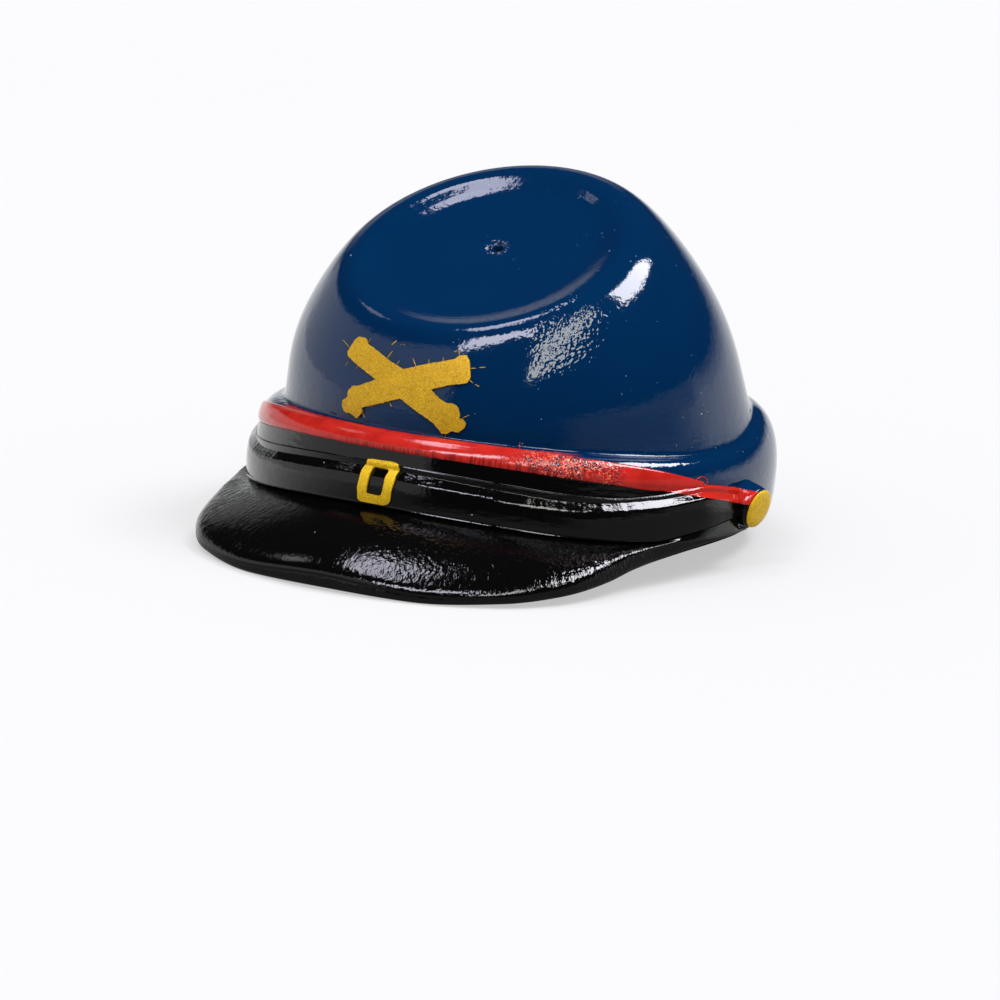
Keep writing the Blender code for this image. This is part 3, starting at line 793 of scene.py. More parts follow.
def make_cap_place():
    """Place on the cap in millimetres, with the angle from the front and the height."""
    graph, source, output = group(
        "cap_place",
        {"Object": None},
        {"Place": None, "Angle": 0.0, "Height": 0.0},
    )
    inputs = {
        "Vector": source["Object"],
        "Location": WORLD_TO_CAP.translation,
        "Rotation": (-LEAN, 0.0, 0.0),
        "Scale": (1 / MM, 1 / MM, 1 / MM),
    }
    place = graph.add("ShaderNodeMapping", inputs).outputs["Vector"]
    parts = graph.parts(place)
    angle = graph.bearing(parts, BAND_AXIS_Y)
    graph.fill(output, {"Place": place, "Angle": angle, "Height": parts["Z"]})


def make_orange_peel():
    """Waves of a sprayed gloss coat, as a height in millimetres."""
    graph, source, output = group(
        "orange_peel",
        {"Place": None, "Waves": 5.0, "Depth": 0.002, "Fine Depth": 0.0006},
        {"Height": 0.0},
    )
    broad = graph.noise(source["Place"], source["Waves"], 1.0)
    fine = graph.noise(source["Place"], graph.times(source["Waves"], 3.6), 1.0)
    rise = graph.times(broad, source["Depth"])
    rise = graph.plus(rise, graph.times(fine, source["Fine Depth"]))
    graph.fill(output, {"Height": rise})


def make_specks():
    """Scattered dots, as a mask."""
    graph, source, output = group(
        "specks",
        {"Place": None, "Crowding": 3.0, "Size": 0.1, "Share": 0.3},
        {"Mask": 0.0},
    )
    inputs = {"Vector": source["Place"], "Scale": source["Crowding"]}
    cells = graph.add("ShaderNodeTexVoronoi", inputs).outputs
    chance = graph.add("ShaderNodeSeparateColor", {"Color": cells["Color"]}).outputs["Red"]
    size = graph.times(source["Size"], chance)
    near = graph.calc("LESS_THAN", cells["Distance"], size)
    chosen = graph.calc("GREATER_THAN", chance, graph.minus(1.0, source["Share"]))
    graph.fill(output, {"Mask": graph.times(near, chosen)})


def make_gold_grain():
    """Grains of metal powder in gold ink: their colour, roughness and height."""
    graph, source, output = group(
        "gold_grain",
        {"Place": None, "Gold": (0.6, 0.36, 0.035, 1.0), "Grains": 30.0},
        {"Color": (0.0, 0.0, 0.0, 1.0), "Roughness": 0.0, "Height": 0.0},
    )
    inputs = {"Vector": source["Place"], "Scale": source["Grains"]}
    cells = graph.add("ShaderNodeTexVoronoi", inputs).outputs
    parts = graph.add("ShaderNodeSeparateColor", {"Color": cells["Color"]}).outputs
    cloud = graph.noise(source["Place"], 2.2)
    shade = graph.times_plus(parts["Red"], 0.46, graph.times(cloud, 0.5))
    dull = graph.blend(1.0, source["Gold"], (0.66, 0.60, 0.50, 1.0), "MULTIPLY")
    colour = graph.blend(graph.ramp(shade, 0.18, 0.62), dull, source["Gold"])
    glint = graph.calc("GREATER_THAN", parts["Green"], 0.93)
    colour = graph.blend(graph.times(glint, 0.35), colour, (1.0, 0.74, 0.10, 1.0))
    nick = graph.calc("LESS_THAN", parts["Blue"], 0.012)
    colour = graph.blend(nick, colour, (0.05, 0.03, 0.01, 1.0))
    roughness = graph.times_plus(parts["Blue"], 0.2, 0.36)
    rise = graph.plus(parts["Green"], graph.times(cells["Distance"], -0.8))
    graph.fill(output, {"Color": colour, "Roughness": roughness, "Height": rise})


def make_wrinkles():
    """Fine ridges that run outward from the cap's axis, as a height in millimetres."""
    graph, source, output = group(
        "wrinkles",
        {"Place": None, "Angle": 0.0, "Fineness": 1.0, "Depth": 0.01},
        {"Height": 0.0},
    )
    parts = graph.parts(source["Place"])
    flat = graph.join(parts["X"], parts["Y"])
    reach = graph.add("ShaderNodeVectorMath", {0: flat}, operation="LENGTH").outputs["Value"]
    turned = graph.join(
        graph.times(source["Angle"], 0.62), graph.times(reach, 1.7), graph.times(parts["Z"], 1.7),
    )
    waves = graph.noise(turned, source["Fineness"], 2.5, Roughness=0.55, Distortion=0.8)
    graph.fill(output, {"Height": graph.times(waves, source["Depth"])})


def make_softbox():
    """A panel of light: a patch of the air between two azimuths and two elevations."""
    graph, source, output = group(
        "softbox",
        {
            "Azimuth": 0.0, "Elevation": 0.0, "Left": -10.0, "Right": 10.0, "Low": 0.0,
            "High": 10.0, "Slope": 0.0, "Edge": 1.0,
        },
        {"Mask": 0.0},
    )
    middle = graph.times(graph.plus(source["Left"], source["Right"]), 0.5)
    off = graph.calc("WRAP", graph.minus(source["Azimuth"], middle), 180.0, -180.0)

    def within(off, low, high):
        half = graph.times(graph.minus(high, low), 0.5)
        inside = graph.minus(half, graph.calc("ABSOLUTE", off))
        share = graph.calc("DIVIDE", inside, source["Edge"])
        return graph.calc("ADD", share, 0.5, clamp=True)

    across = within(off, source["Left"], source["Right"])
    middle = graph.times(graph.plus(source["Low"], source["High"]), 0.5)
    middle = graph.times_plus(off, source["Slope"], middle)
    off = graph.minus(source["Elevation"], middle)
    up = within(off, source["Low"], source["High"])
    graph.fill(output, {"Mask": graph.times(across, up)})


GROUPS = (
    make_cap_place, make_orange_peel, make_specks, make_gold_grain, make_wrinkles, make_softbox,
)


def start_material(name):
    """A new material's graph and shader, and the outputs of the place on the cap."""
    material = bpy.data.materials.new(name)
    material.use_nodes = True
    graph = Graph(material.node_tree)
    shader = material.node_tree.nodes["Principled BSDF"]
    coordinates = graph.add("ShaderNodeTexCoord", {}).outputs["Object"]
    return graph, shader, graph.use("cap_place", {"Object": coordinates})


def peel_height(graph, place, paint):
    waves, depth, fine_depth = PEEL[paint]
    inputs = {"Place": place, "Waves": waves, "Depth": depth, "Fine Depth": fine_depth}
    return graph.use("orange_peel", inputs)["Height"]


def coat(graph, shader, colour, roughness, rise, metallic=0.0):
    """Gives a shader its colour and gloss, and a height in millimetres as its normal."""
    normal = graph.add("ShaderNodeBump", {"Distance": MM, "Height": rise}).outputs["Normal"]
    graph.fill(shader, {
        "Base Color": colour, "Roughness": roughness, "Metallic": metallic, "Normal": normal,
    })


def plain(colour):
    return (*colour, 1.0)


def make_navy():
    """Navy gloss with pale specks, red in the crease, a streaky foot and a crackled patch."""
    finish = bpy.context.scene.kepi_finish
    graph, shader, on_cap = start_material("navy_gloss")
    place, angle, z = on_cap["Place"], on_cap["Angle"], on_cap["Height"]
    broad = graph.noise(place, 0.5)
    colour = graph.blend(broad, plain(finish.navy), plain(finish.navy_light))
    left = graph.ramp(angle, 20.0, 60.0)
    for crowding, size, share in PALE_SPECKS:
        inputs = {"Place": place, "Crowding": crowding, "Size": size * crowding}
        inputs["Share"] = graph.times_plus(left, share, 0.03)
        white = graph.times(graph.use("specks", inputs)["Mask"], 0.5)
        colour = graph.blend(white, colour, (0.55, 0.68, 0.75, 1.0))

    in_front = graph.ramp(graph.calc("ABSOLUTE", angle), CREASE_RED_END, CREASE_RED_END - 10.0)
    top = graph.times_plus(graph.noise(place, 9.0), 0.05, CREASE_RED_TOP)
    below = graph.times(in_front, graph.calc("LESS_THAN", z, top))
    crease_red = graph.times(below, graph.calc("GREATER_THAN", z, CREASE_RED_LOW))
    colour = graph.blend(crease_red, colour, plain(finish.red))

    streaks = graph.noise(graph.join(graph.times(angle, 0.035), z), 9.0)
    streaks = graph.times(streaks, 0.007)
    foot = graph.ramp(z, 1.6, 0.3)
    rise = graph.times_plus(streaks, foot, peel_height(graph, place, "navy"))
    off = graph.add("ShaderNodeVectorMath", {0: place, 1: CRACKLE}, operation="DISTANCE")
    crackled = graph.ramp(off.outputs["Value"], CRACKLE_OUTER, CRACKLE_INNER, 0.0015, 0.016)
    rise = graph.times_plus(graph.noise(place, 9.0, 1.0), crackled, rise)
    coat(graph, shader, colour, finish.gloss, rise)


def start_black(name):
    """Black gloss with a little dust: its graph, shader, place on the cap, colour and height."""
    black = bpy.context.scene.kepi_finish.black
    graph, shader, on_cap = start_material(name)
    inputs = {"Place": on_cap["Place"], "Crowding": 2.4, "Size": 0.05, "Share": 0.22}
    dust = graph.times(graph.use("specks", inputs)["Mask"], 0.6)
    colour = graph.blend(dust, plain(black), (0.4, 0.4, 0.4, 1.0))
    return graph, shader, on_cap, colour, peel_height(graph, on_cap["Place"], "black")


def make_peak_black():
    """Black gloss with ridges at both sides of the peak, and a crackle at its left."""
    finish = bpy.context.scene.kepi_finish
    graph, shader, on_cap, colour, rise = start_black("black_gloss_peak")
    place, angle = on_cap["Place"], on_cap["Angle"]
    right = graph.ramp(angle, -4.0, -30.0, 0.0, 0.015)
    left = graph.ramp(angle, -12.0, 10.0, 0.0, 0.008)
    left = graph.plus(left, graph.ramp(angle, 33.0, 44.0, 0.0, 0.018))
    left = graph.times(left, graph.ramp(angle, 63.0, 58.0))
    depth = graph.plus(right, left)
    ridges = {"Place": place, "Angle": angle, "Fineness": 2.0, "Depth": depth}
    rise = graph.plus(rise, graph.use("wrinkles", ridges)["Height"])
    crackle = graph.noise(place, 8.0, 1.0)
    rise = graph.times_plus(crackle, graph.times(left, 0.9), rise)
    coat(graph, shader, colour, finish.gloss, rise)


def make_strap_black():
    """Black gloss drawn out along the strap, with red and navy paint over its upper edge."""
    finish = bpy.context.scene.kepi_finish
    graph, shader, on_cap, colour, rise = start_black("black_gloss_strap")
    place, angle, z = on_cap["Place"], on_cap["Angle"], on_cap["Height"]
    side = graph.calc("ABSOLUTE", angle)
    drawn = graph.noise(graph.join(graph.times(angle, 0.022), z), 9.0)
    rise = graph.times_plus(drawn, 0.007, rise)
    uneven = graph.minus(z, graph.times(graph.noise(place, 7.0), 0.02))
    for rows, start, tint in (
        (RED_OVER_STRAP, RED_OVER_START, finish.red),
        (NAVY_OVER_STRAP, NAVY_OVER_START, finish.navy_light),
    ):
        above = graph.calc("GREATER_THAN", uneven, border(graph, rows, side))
        above = graph.times(above, graph.calc("GREATER_THAN", side, start))
        colour = graph.blend(above, colour, plain(tint))
    coat(graph, shader, colour, finish.gloss, rise)


def border(graph, rows, side):
    """The height of a painted border at an angle from the front."""
    widest, lowest = 100.0, -2.0        # the curve's node works from 0 to 1
    share = graph.calc("DIVIDE", side, widest)
    node = graph.add("ShaderNodeFloatCurve", {"Value": share})
    curve = node.mapping.curves[0]
    points = [(angle / widest, z / lowest) for angle, z in rows[1:]]
    curve.points[0].location, curve.points[1].location = points[0], points[-1]
    for point in points[1:-1]:
        curve.points.new(*point)
    node.mapping.update()
    return graph.times(node.outputs[0], lowest)


def make_red():
    """Red paint, combed into fine upright lines below, with scrapes and painted highlights at the
    left front.
    """
    finish = bpy.context.scene.kepi_finish
    graph, shader, on_cap = start_material("red_gloss")
    place, angle, z = on_cap["Place"], on_cap["Angle"], on_cap["Height"]
    cloud = graph.noise(place, 2.5, 3.0)
    dark = graph.blend(1.0, plain(finish.red), (0.78, 0.60, 0.60, 1.0), "MULTIPLY")
    colour = graph.blend(graph.ramp(cloud, 0.3, 0.75), plain(finish.red), dark)

    comb = graph.noise(graph.join(graph.times(angle, 2.6), graph.times(z, 1.5)), 1.0, 1.0)
    lines = graph.ramp(comb, 0.48, 0.56)
    low = graph.times(graph.ramp(z, -0.24, -0.32), graph.ramp(angle, 50.0, 40.0))
    low = graph.times(low, graph.ramp(angle, -24.0, -6.0))
    ticks = graph.times(lines, low)
    colour = graph.blend(graph.times(ticks, 0.6), colour, (0.05, 0.004, 0.003, 1.0))

    # patches of scrape marks in the red; the palest of them, the last row of the table, is a
    # painted highlight
    window = graph.times(graph.ramp(angle, 28.0, 38.0), graph.ramp(angle, 56.0, 49.0))
    patches = graph.ramp(graph.noise(place, 1.6), 0.28, 0.50)
    scrapes_and_sheen = graph.times(window, patches)
    flattened = graph.shift(place, stretch=(1.0, 1.0, 1.3))
    for scale, offset, least, tint in SCRAPES_AND_SHEEN:
        wave = graph.noise(graph.shift(flattened, offset), scale, 1.0, Distortion=1.5)
        mark = graph.times(graph.ramp(wave, least - 0.02, least + 0.02), scrapes_and_sheen)
        colour = graph.blend(mark, colour, tint)

    rise = graph.times_plus(ticks, -0.006, peel_height(graph, place, "red"))
    rough = graph.times(scrapes_and_sheen, graph.noise(flattened, 11.0))
    coat(graph, shader, colour, 0.12, graph.times_plus(rough, 0.024, rise))


def make_gold(name, gold):
    """Grained gold ink."""
    graph, shader, on_cap = start_material(name)
    inputs = {"Place": on_cap["Place"], "Gold": plain(gold), "Grains": GOLD_GRAINS}
    grain = graph.use("gold_grain", inputs)
    rise = graph.times(grain["Height"], 0.002)
    coat(graph, shader, grain["Color"], grain["Roughness"], rise, GOLD_METAL)


# Settings

def length_setting(name, description, default, low, high):
    return FloatProperty(
        name=name, description=description, default=default, min=low, max=high,
        unit="LENGTH", precision=5,
    )


def angle_setting(name, description, degrees):
    return FloatProperty(
        name=name, description=description, default=math.radians(degrees), subtype="ANGLE",
    )


def colour_setting(name, description, default):
    return FloatVectorProperty(
        name=name, description=description, default=default, min=0.0, max=1.0,
        subtype="COLOR", size=3,
    )


class KepiShape(bpy.types.PropertyGroup):
    """Sizes of the cap's pieces"""

    roll_radius: length_setting(
        "Roll radius", "Radius of the roll at its fullest", 0.00635, 0.0060, 0.0066,
    )
    dish_depth: length_setting("Dish depth", "Depth of the sunken top", 0.000165, 0.0, 0.0005)
    piping_thick: length_setting(
        "Piping thickness", "Thickness of the red piping", 0.00005, 0.00002, 0.0001,
    )
    strap_radius: length_setting(
        "Strap radius", "Radius of the strap's face", 0.00662, 0.0065, 0.0067,
    )
    peak_swell: length_setting(
        "Peak swell", "Bulge of the peak's upper face", 0.00010, 0.0, 0.0003,
    )


class KepiFinish(bpy.types.PropertyGroup):
    """Colours and gloss of the cap's finishes"""

    navy: colour_setting("Navy", "Colour of the crown's plastic", (0.0, 0.0122, 0.0475))
    navy_light: colour_setting(
        "Light navy", "Colour of the crown where it looks lighter", (0.0, 0.0158, 0.055),
    )
    black: colour_setting("Black", "Colour of the peak and the strap", (0.0012, 0.0012, 0.0012))
    red: colour_setting("Red", "Colour of the piping", (0.385, 0.014, 0.009))
    gold: colour_setting("Gold", "Colour of the badge", (0.62, 0.355, 0.006))
    bright_gold: colour_setting(
        "Bright gold", "Colour of the buckle and buttons", (0.80, 0.50, 0.003),
    )
    gloss: FloatProperty(
        name="Roughness", description="Roughness of the gloss plastic",
        default=0.055, min=0.0, max=1.0, subtype="FACTOR",
    )


class KepiStudio(bpy.types.PropertyGroup):
    """The camera's place and the lights' strength"""

    azimuth: angle_setting("Azimuth", "The camera's turn round the cap, from its front", 30.29)
    elevation: angle_setting("Elevation", "The camera's height over the cap's own level", 7.58)
    roll: angle_setting("Roll", "The camera's tilt about its line of sight", 5.83)
    distance: FloatProperty(
        name="Distance", description="From the camera to the cap",
        default=0.23, min=0.05, max=1.0, unit="LENGTH",
    )
    lens: FloatProperty(
        name="Lens", description="Focal length of the camera in millimetres",
        default=337.8, min=50.0, max=1000.0,
    )
    brightness: FloatProperty(
        name="Brightness", description="Strength of all the lights together",
        default=1.0, min=0.0, max=10.0, subtype="FACTOR",
    )


# Pieces

class KEPI_OT_finishes(bpy.types.Operator):
    """Makes the cap's materials and the node groups that they share"""

    bl_idname = "kepi.finishes"
    bl_label = "Finishes"

    def execute(self, context):
        for make in GROUPS:
            make()
        make_navy()
        make_red()
        make_peak_black()
        make_strap_black()
        finish = context.scene.kepi_finish
        make_gold("gold_ink_badge", finish.gold)
        make_gold("gold_ink_buckle", finish.bright_gold)
        make_gold("gold_ink_buttons", finish.bright_gold)
        return {"FINISHED"}


def sunken_point(angle, radius, dish_depth):
    """A point on the sunken top: its sloping wall, the faint ring, and the broken-off gate."""
    flat = TOP_CENTRE + radius * outward(angle, TOP_TILT)
    depth = dish_depth * look_up(DISH_ROWS, "depth", radius)
    ripple = noise.noise(Vector((radius * 16.0, 0.5, 0.0)))
    depth += RIPPLE_DEPTH * hump(radius - RIPPLE_MIDDLE, RIPPLE_REACH) * ripple
    ring_middle = TOP_CENTRE + RING_OFFSET * outward(RING_TOWARDS, TOP_TILT)
    inside = (flat - ring_middle).length - RING_RADIUS
    depth += RING_DEPTH * ease(0.5 - inside / RING_EDGE)
    away = (flat - TOP_CENTRE + GATE_BACK * outward(0.0, TOP_TILT)).length
    depth += CUP_DEPTH * hump(away, CUP_RADIUS) + PIT_DEPTH * ease((PIT_RADIUS - away) / PIT_EDGE)
    ragged = noise.noise(flat * 8.0) + 0.5 * noise.noise(flat * 17.0)
    depth -= BURR_HEIGHT * hump(away - BURR_RADIUS, BURR_REACH) * ragged
    return flat - depth * top_normal()


class KEPI_OT_crown(bpy.types.Operator):
    """Builds the crown and its roll as one hollow moulding"""

    bl_idname = "kepi.crown"
    bl_label = "Crown and roll"

    def execute(self, context):
        dish_depth = context.scene.kepi_shape.dish_depth / MM

        def hollow_point(angle, z):
            middle = Vector((0.0, look_up(HOLLOW_ROWS, "middle_y", z), z))
            return look_up(HOLLOW_ROWS, "radius", z) * outward(angle) + middle

        def mouth_point(angle):
            return HOLLOW_MOUTH * outward(angle) + Vector((0.0, 0.0, height("rim", angle)))

        def bare_side_point(angle, share):
            start = crease_share(angle)
            return side_point(angle, start + (1.0 - start) * share)

        rings = []
        for z in spread(HOLLOW_ROWS[-1][0], HOLLOW_ROWS[1][0], DOWN_HOLLOW):
            rings.append(turned_ring(lambda a: hollow_point(a, z)))
        rings.append(turned_ring(mouth_point))
        for turn in spread(2.0, 0.0, DOWN_ROLL):
            rings.append(turned_ring(lambda a: around(a, *roll_section(a, turn))))
        crease_ring = len(rings) - 1
        for share in spread(0.0, 1.0, UP_SIDE)[1:]:
            rings.append(turned_ring(lambda a: bare_side_point(a, share)))
        start = CREST_RADIUS
        for end, count in ACROSS_TOP:
            for radius in spread(start, end, count)[1:]:
                rings.append(turned_ring(lambda a: sunken_point(a, radius, dish_depth)))
            start = end
        round_off(rings, crease_ring, CREASE_SOFT, CREASE_SOFT)
        finish_piece("crown_moulding", loft(rings))
        return {"FINISHED"}


class KEPI_OT_piping(bpy.types.Operator):
    """Builds the red piping round the roll's front half"""

    bl_idname = "kepi.piping"
    bl_label = "Piping"

    def execute(self, context):
        thick = context.scene.kepi_shape.piping_thick / MM

        def section(angle):
            """The low edge runs in fine teeth, which are longest at the front's left side."""
            degrees = math.degrees(angle)
            comb = noise.noise(Vector((degrees * 1.1, 0.3, 0.0)))
            wave = noise.noise(Vector((degrees * 0.4, 5.0, 0.0)))
            teeth = TEETH_LENGTH * hump(degrees - TEETH_MIDDLE, TEETH_REACH) * comb
            top = roll_turn_at(angle, height("piping_top", angle))
            low = roll_turn_at(angle, height("piping_low", angle) + teeth + 0.006 * wave)
            inner = [off_roll(angle, turn, GAP) for turn in spread(top, low, PIPING_BACK)]
            outer = []
            for share in spread(1.0, 0.0, PIPING_ACROSS):
                lift = GAP + thick * (1.0 - (2 * share - 1) ** 8)
                outer.append(off_roll(angle, top + share * (low - top), lift))
            return inner + outer

        finish_piece("red_piping", wrap(section, PIPING_END, TEETH_STEP))
        return {"FINISHED"}


def strap_root(angle):
    return max(height("piping_low", angle) + 0.005, height("strap_top", angle) + 0.03)


def strap_corners(angle, radius):
    """Corners down the strap's outer side, each with the reach of its rounding.

    A low wall under the piping turns out into a rounded shelf, and the face below it ends in
    a thin flare over the peak.
    """
    root, top, low = strap_root(angle), height("strap_top", angle), height("strap_low", angle)
    degrees = abs(math.degrees(angle))
    start = off_roll(angle, roll_turn_at(angle, root), GAP + 0.02)
    wall = max(start[0] + 0.012, STRAP_WALL)
    radius -= STRAP_NARROWING * ease((degrees - 74.0) / 10.0)
    shelf, half = (look_up(SHELF, name, degrees) for name in ("drop", "half"))
    shelf += STRAP_WAVE * noise.noise(Vector((math.degrees(angle) * 0.9, 2.0, 0.0)))
    flare = STRAP_FLARE * ease((60.0 - degrees) / 14.0)
    return [
        (*start, 0.0),
        (wall, top - 0.005, 0.012),
        (wall + 0.03, top - 0.03, 0.006),
        (wall + 0.005, top - shelf + half, 0.015),
        (radius - 0.03, top - shelf - half, 0.05),
        (radius, top - 0.56, 0.12),
        (radius - 0.02, low + 0.20 * (top - low), 0.15),
        (radius - 0.047, low + 0.045, 0.02),
        (radius - 0.047 + flare, low + 0.012, 0.006),
        (radius - 0.065, low, 0.0),
    ]


class KEPI_OT_chin_strap(bpy.types.Operator):
    """Builds the strap across the front and its two round ends"""

    bl_idname = "kepi.chin_strap"
    bl_label = "Chin strap"

    def execute(self, context):
        radius = context.scene.kepi_shape.strap_radius / MM

        def section(angle):
            corners = strap_corners(angle, radius)
            low = roll_turn_at(angle, height("strap_low", angle))
            root = roll_turn_at(angle, strap_root(angle))
            inner = [off_roll(angle, turn, GAP) for turn in spread(low, root, STRAP_BACK)]
            return soften(corners + [(*point, 0.0) for point in inner], STRAP_ROUNDING)

        finish_piece("strap_band", wrap(section, STRAP_END))
        for name, side in SIDES:
            finish_piece(f"strap_end_{name}", on_boss(turned_body(BOSS_PROFILE), side))
        return {"FINISHED"}


def on_boss(bm, side):
    """Turns a round body from Z onto the axis of a strap end."""
    looks = Vector((side * math.cos(BOSS_DROOP), 0.0, -math.sin(BOSS_DROOP)))
    middle = Vector((side * BOSS_INNER, BOSS_FORWARD, BOSS_HEIGHT))
    turn = looks.to_track_quat("Z", "Y").to_matrix()
    bmesh.ops.rotate(bm, cent=(0, 0, 0), matrix=turn, verts=bm.verts)
    bmesh.ops.translate(bm, vec=middle, verts=bm.verts)
    return bm


def flange_top(angle):
    """Top of the peak's thin wall behind its lip, kept clear of the strap's round end."""
    top = height("strap_low", angle) - GAP
    along = abs(around(angle, FLANGE_RADIUS, 0.0).y - BOSS_FORWARD)
    clear = BOSS_RADIUS + 2 * GAP
    if along < clear:
        top = min(top, BOSS_HEIGHT - math.sqrt(clear ** 2 - along ** 2))
    return top


def peak_section(angle, swell_by):
    """Section of the peak: wall against the roll, upper face, shoulder, lip and underside."""
    names = ("radius", "bottom", "thick", "shoulder")
    radius, bottom, thick, shoulder = (peak_edge(name, angle) for name in names)
    top = flange_top(angle)
    lip = bottom + thick
    turns = spread(2.0, roll_turn_at(angle, top), PEAK_BACK)
    points = [(*off_roll(angle, turn, GAP), 0.0) for turn in turns]
    foot, foot_z = points[0][:2]
    root = min(PEAK_ROOT, radius - LEAST_FACE)
    narrow = ease((abs(math.degrees(angle)) - LIP_START) / 8.0)
    root += narrow * (radius - LIP_FACE - root)
    reach = radius - root
    fullness = min(reach / 2, 1.0)
    drop = top - lip
    start = Vector((root, top - 0.005))
    end = Vector((radius, lip))
    belly = start + Vector((0.40 * reach, -0.32 * drop + swell_by * fullness))
    turn_down = end + Vector((0.0, min(shoulder, 0.75 * drop)))
    points.append((*start, 0.0))
    for t in spread(0.0, 1.0, PEAK_ACROSS)[1:-1]:
        s = 1.0 - t
        point = s ** 3 * start + 3 * s * s * t * belly + 3 * s * t * t * turn_down + t ** 3 * end
        points.append((*point, 0.0))
    points += [
        (radius, lip + 0.002, 0.0),
        (radius - 0.010, lip - 0.010, 0.0),
        (radius - 0.006, lip - min(0.05, 0.4 * thick), 0.0),
        (radius - 0.010, bottom + min(0.07, 0.5 * thick), 0.3 * thick),
        (radius - 0.08, bottom, 0.05),
    ]
    for share in spread(1.0, 0.0, UNDERSIDE_ACROSS)[1:-1]:
        rise = PEAK_HOLLOW * 4 * share * (1 - share) * fullness
        across = foot + share * (radius - foot)
        points.append((across, foot_z + share * (bottom - foot_z) + rise, 0.0))
    return soften(points, PEAK_ROUNDING)


class KEPI_OT_peak(bpy.types.Operator):
    """Builds the peak, which thins into a lip as far as the strap's round ends"""

    bl_idname = "kepi.peak"
    bl_label = "Peak"

    def execute(self, context):
        swell = context.scene.kepi_shape.peak_swell / MM
        bm = wrap(lambda angle: peak_section(angle, swell), PEAK_END)
        finish_piece("peak_moulding", bm)
        return {"FINISHED"}


def buckle_point(row, share):
    """A point on one of the buckle's rounded loops, a share of the way round."""
    half_width, half_height, squareness = row
    turn = 2 * math.pi * share
    cosine, sine = math.cos(turn), math.sin(turn)
    power = 2.0 / squareness
    across = math.copysign(half_width * abs(cosine) ** power, cosine)
    up = math.copysign(half_height * abs(sine) ** power, sine)
    x, z = BUCKLE_MIDDLE
    return Vector((x + across + BUCKLE_SKEW * up, 0.0, z + up))


def thicken(bm):
    """Gives a flat sheet in X and Z its thickness, towards the front."""
    new = bmesh.ops.extrude_face_region(bm, geom=list(bm.faces))["geom"]
    front = [item for item in new if isinstance(item, bmesh.types.BMVert)]
    bmesh.ops.translate(bm, vec=(0.0, -TRIM_THICK, 0.0), verts=front)


def bend_onto(bm, surface):
    """Turns a flat plate, drawn in X and Z with its thickness along Y, onto a surface."""
    for vert in bm.verts:
        point, facing = surface(vert.co.x, vert.co.z)
        vert.co = point + facing * (GAP - vert.co.y)


class KEPI_OT_buckle(bpy.types.Operator):
    """Builds the gold frame on the strap's middle"""

    bl_idname = "kepi.buckle"
    bl_label = "Buckle"

    def execute(self, context):
        shares = [(k + 0.5) / BUCKLE_STEPS for k in range(BUCKLE_STEPS)]
        loops = []
        for a, b in zip(BUCKLE_LOOPS[1:], BUCKLE_LOOPS[2:]):
            for t in spread(0.0, 1.0, BUCKLE_RINGS):
                row = [x + (y - x) * t for x, y in zip(a, b)]
                loops.append([buckle_point(row, share) for share in shares])
        bm = bmesh.new()
        strip(bm, loops)
        bmesh.ops.remove_doubles(bm, verts=bm.verts, dist=WELD)
        for vert in bm.verts:
            at = vert.co * 7.0
            wobble = Vector((noise.noise(at), 0.0, noise.noise(at + Vector((9.0, 0.0, 0.0)))))
            vert.co += BUCKLE_WOBBLE * wobble
        thicken(bm)
        bend_onto(bm, front_surface("strap_band"))
        finish_piece("buckle_frame", bm)
        return {"FINISHED"}


def badge_outline():
    """The cannons' outline with its corners rounded and its edge a little ragged."""
    corners = soften([(x, z, BADGE_ROUNDING) for x, z in BADGE_OUTLINE], BADGE_CORNER)
    outline = []
    for here, after in zip(corners, corners[1:] + corners[:1]):
        steps = max(round((after - here).length / BADGE_STEP), 1)
        for share in spread(0.0, 1.0, steps)[:-1]:
            point = here.lerp(after, share)
            at = point * 17.0
            wobble = Vector((noise.noise((*at, 0.0)), noise.noise((*at, 5.0))))
            outline.append(point + BADGE_WOBBLE * wobble)
    return outline


class KEPI_OT_cannons(bpy.types.Operator):
    """Builds the badge of two crossed cannon barrels on the crown's front"""

    bl_idname = "kepi.cannons"
    bl_label = "Crossed cannons"

    def execute(self, context):
        bm = bmesh.new()
        middle = Vector((BADGE_MIDDLE[0], 0.0, BADGE_MIDDLE[1]))
        bm.faces.new([bm.verts.new((x, 0.0, z)) for x, z in badge_outline()])
        for axis in (Vector((1, 0, 0)), Vector((0, 0, 1))):
            for k in range(-BADGE_CUTS, BADGE_CUTS + 1):
                bmesh.ops.bisect_plane(
                    bm, geom=bm.verts[:] + bm.edges[:] + bm.faces[:],
                    plane_co=middle + axis * (k * BADGE_CELL + BADGE_SHIFT), plane_no=axis,
                    dist=1e-4,
                )
        thicken(bm)
        bend_onto(bm, front_surface("crown_moulding"))
        finish_piece("cannon_badge", bm)
        return {"FINISHED"}


class KEPI_OT_buttons(bpy.types.Operator):
    """Builds the two gold buttons on the strap's round ends"""

    bl_idname = "kepi.buttons"
    bl_label = "Side buttons"

    def execute(self, context):
        for name, side in SIDES:
            finish_piece(f"button_{name}", on_boss(turned_body(BUTTON_PROFILE), side))
        return {"FINISHED"}


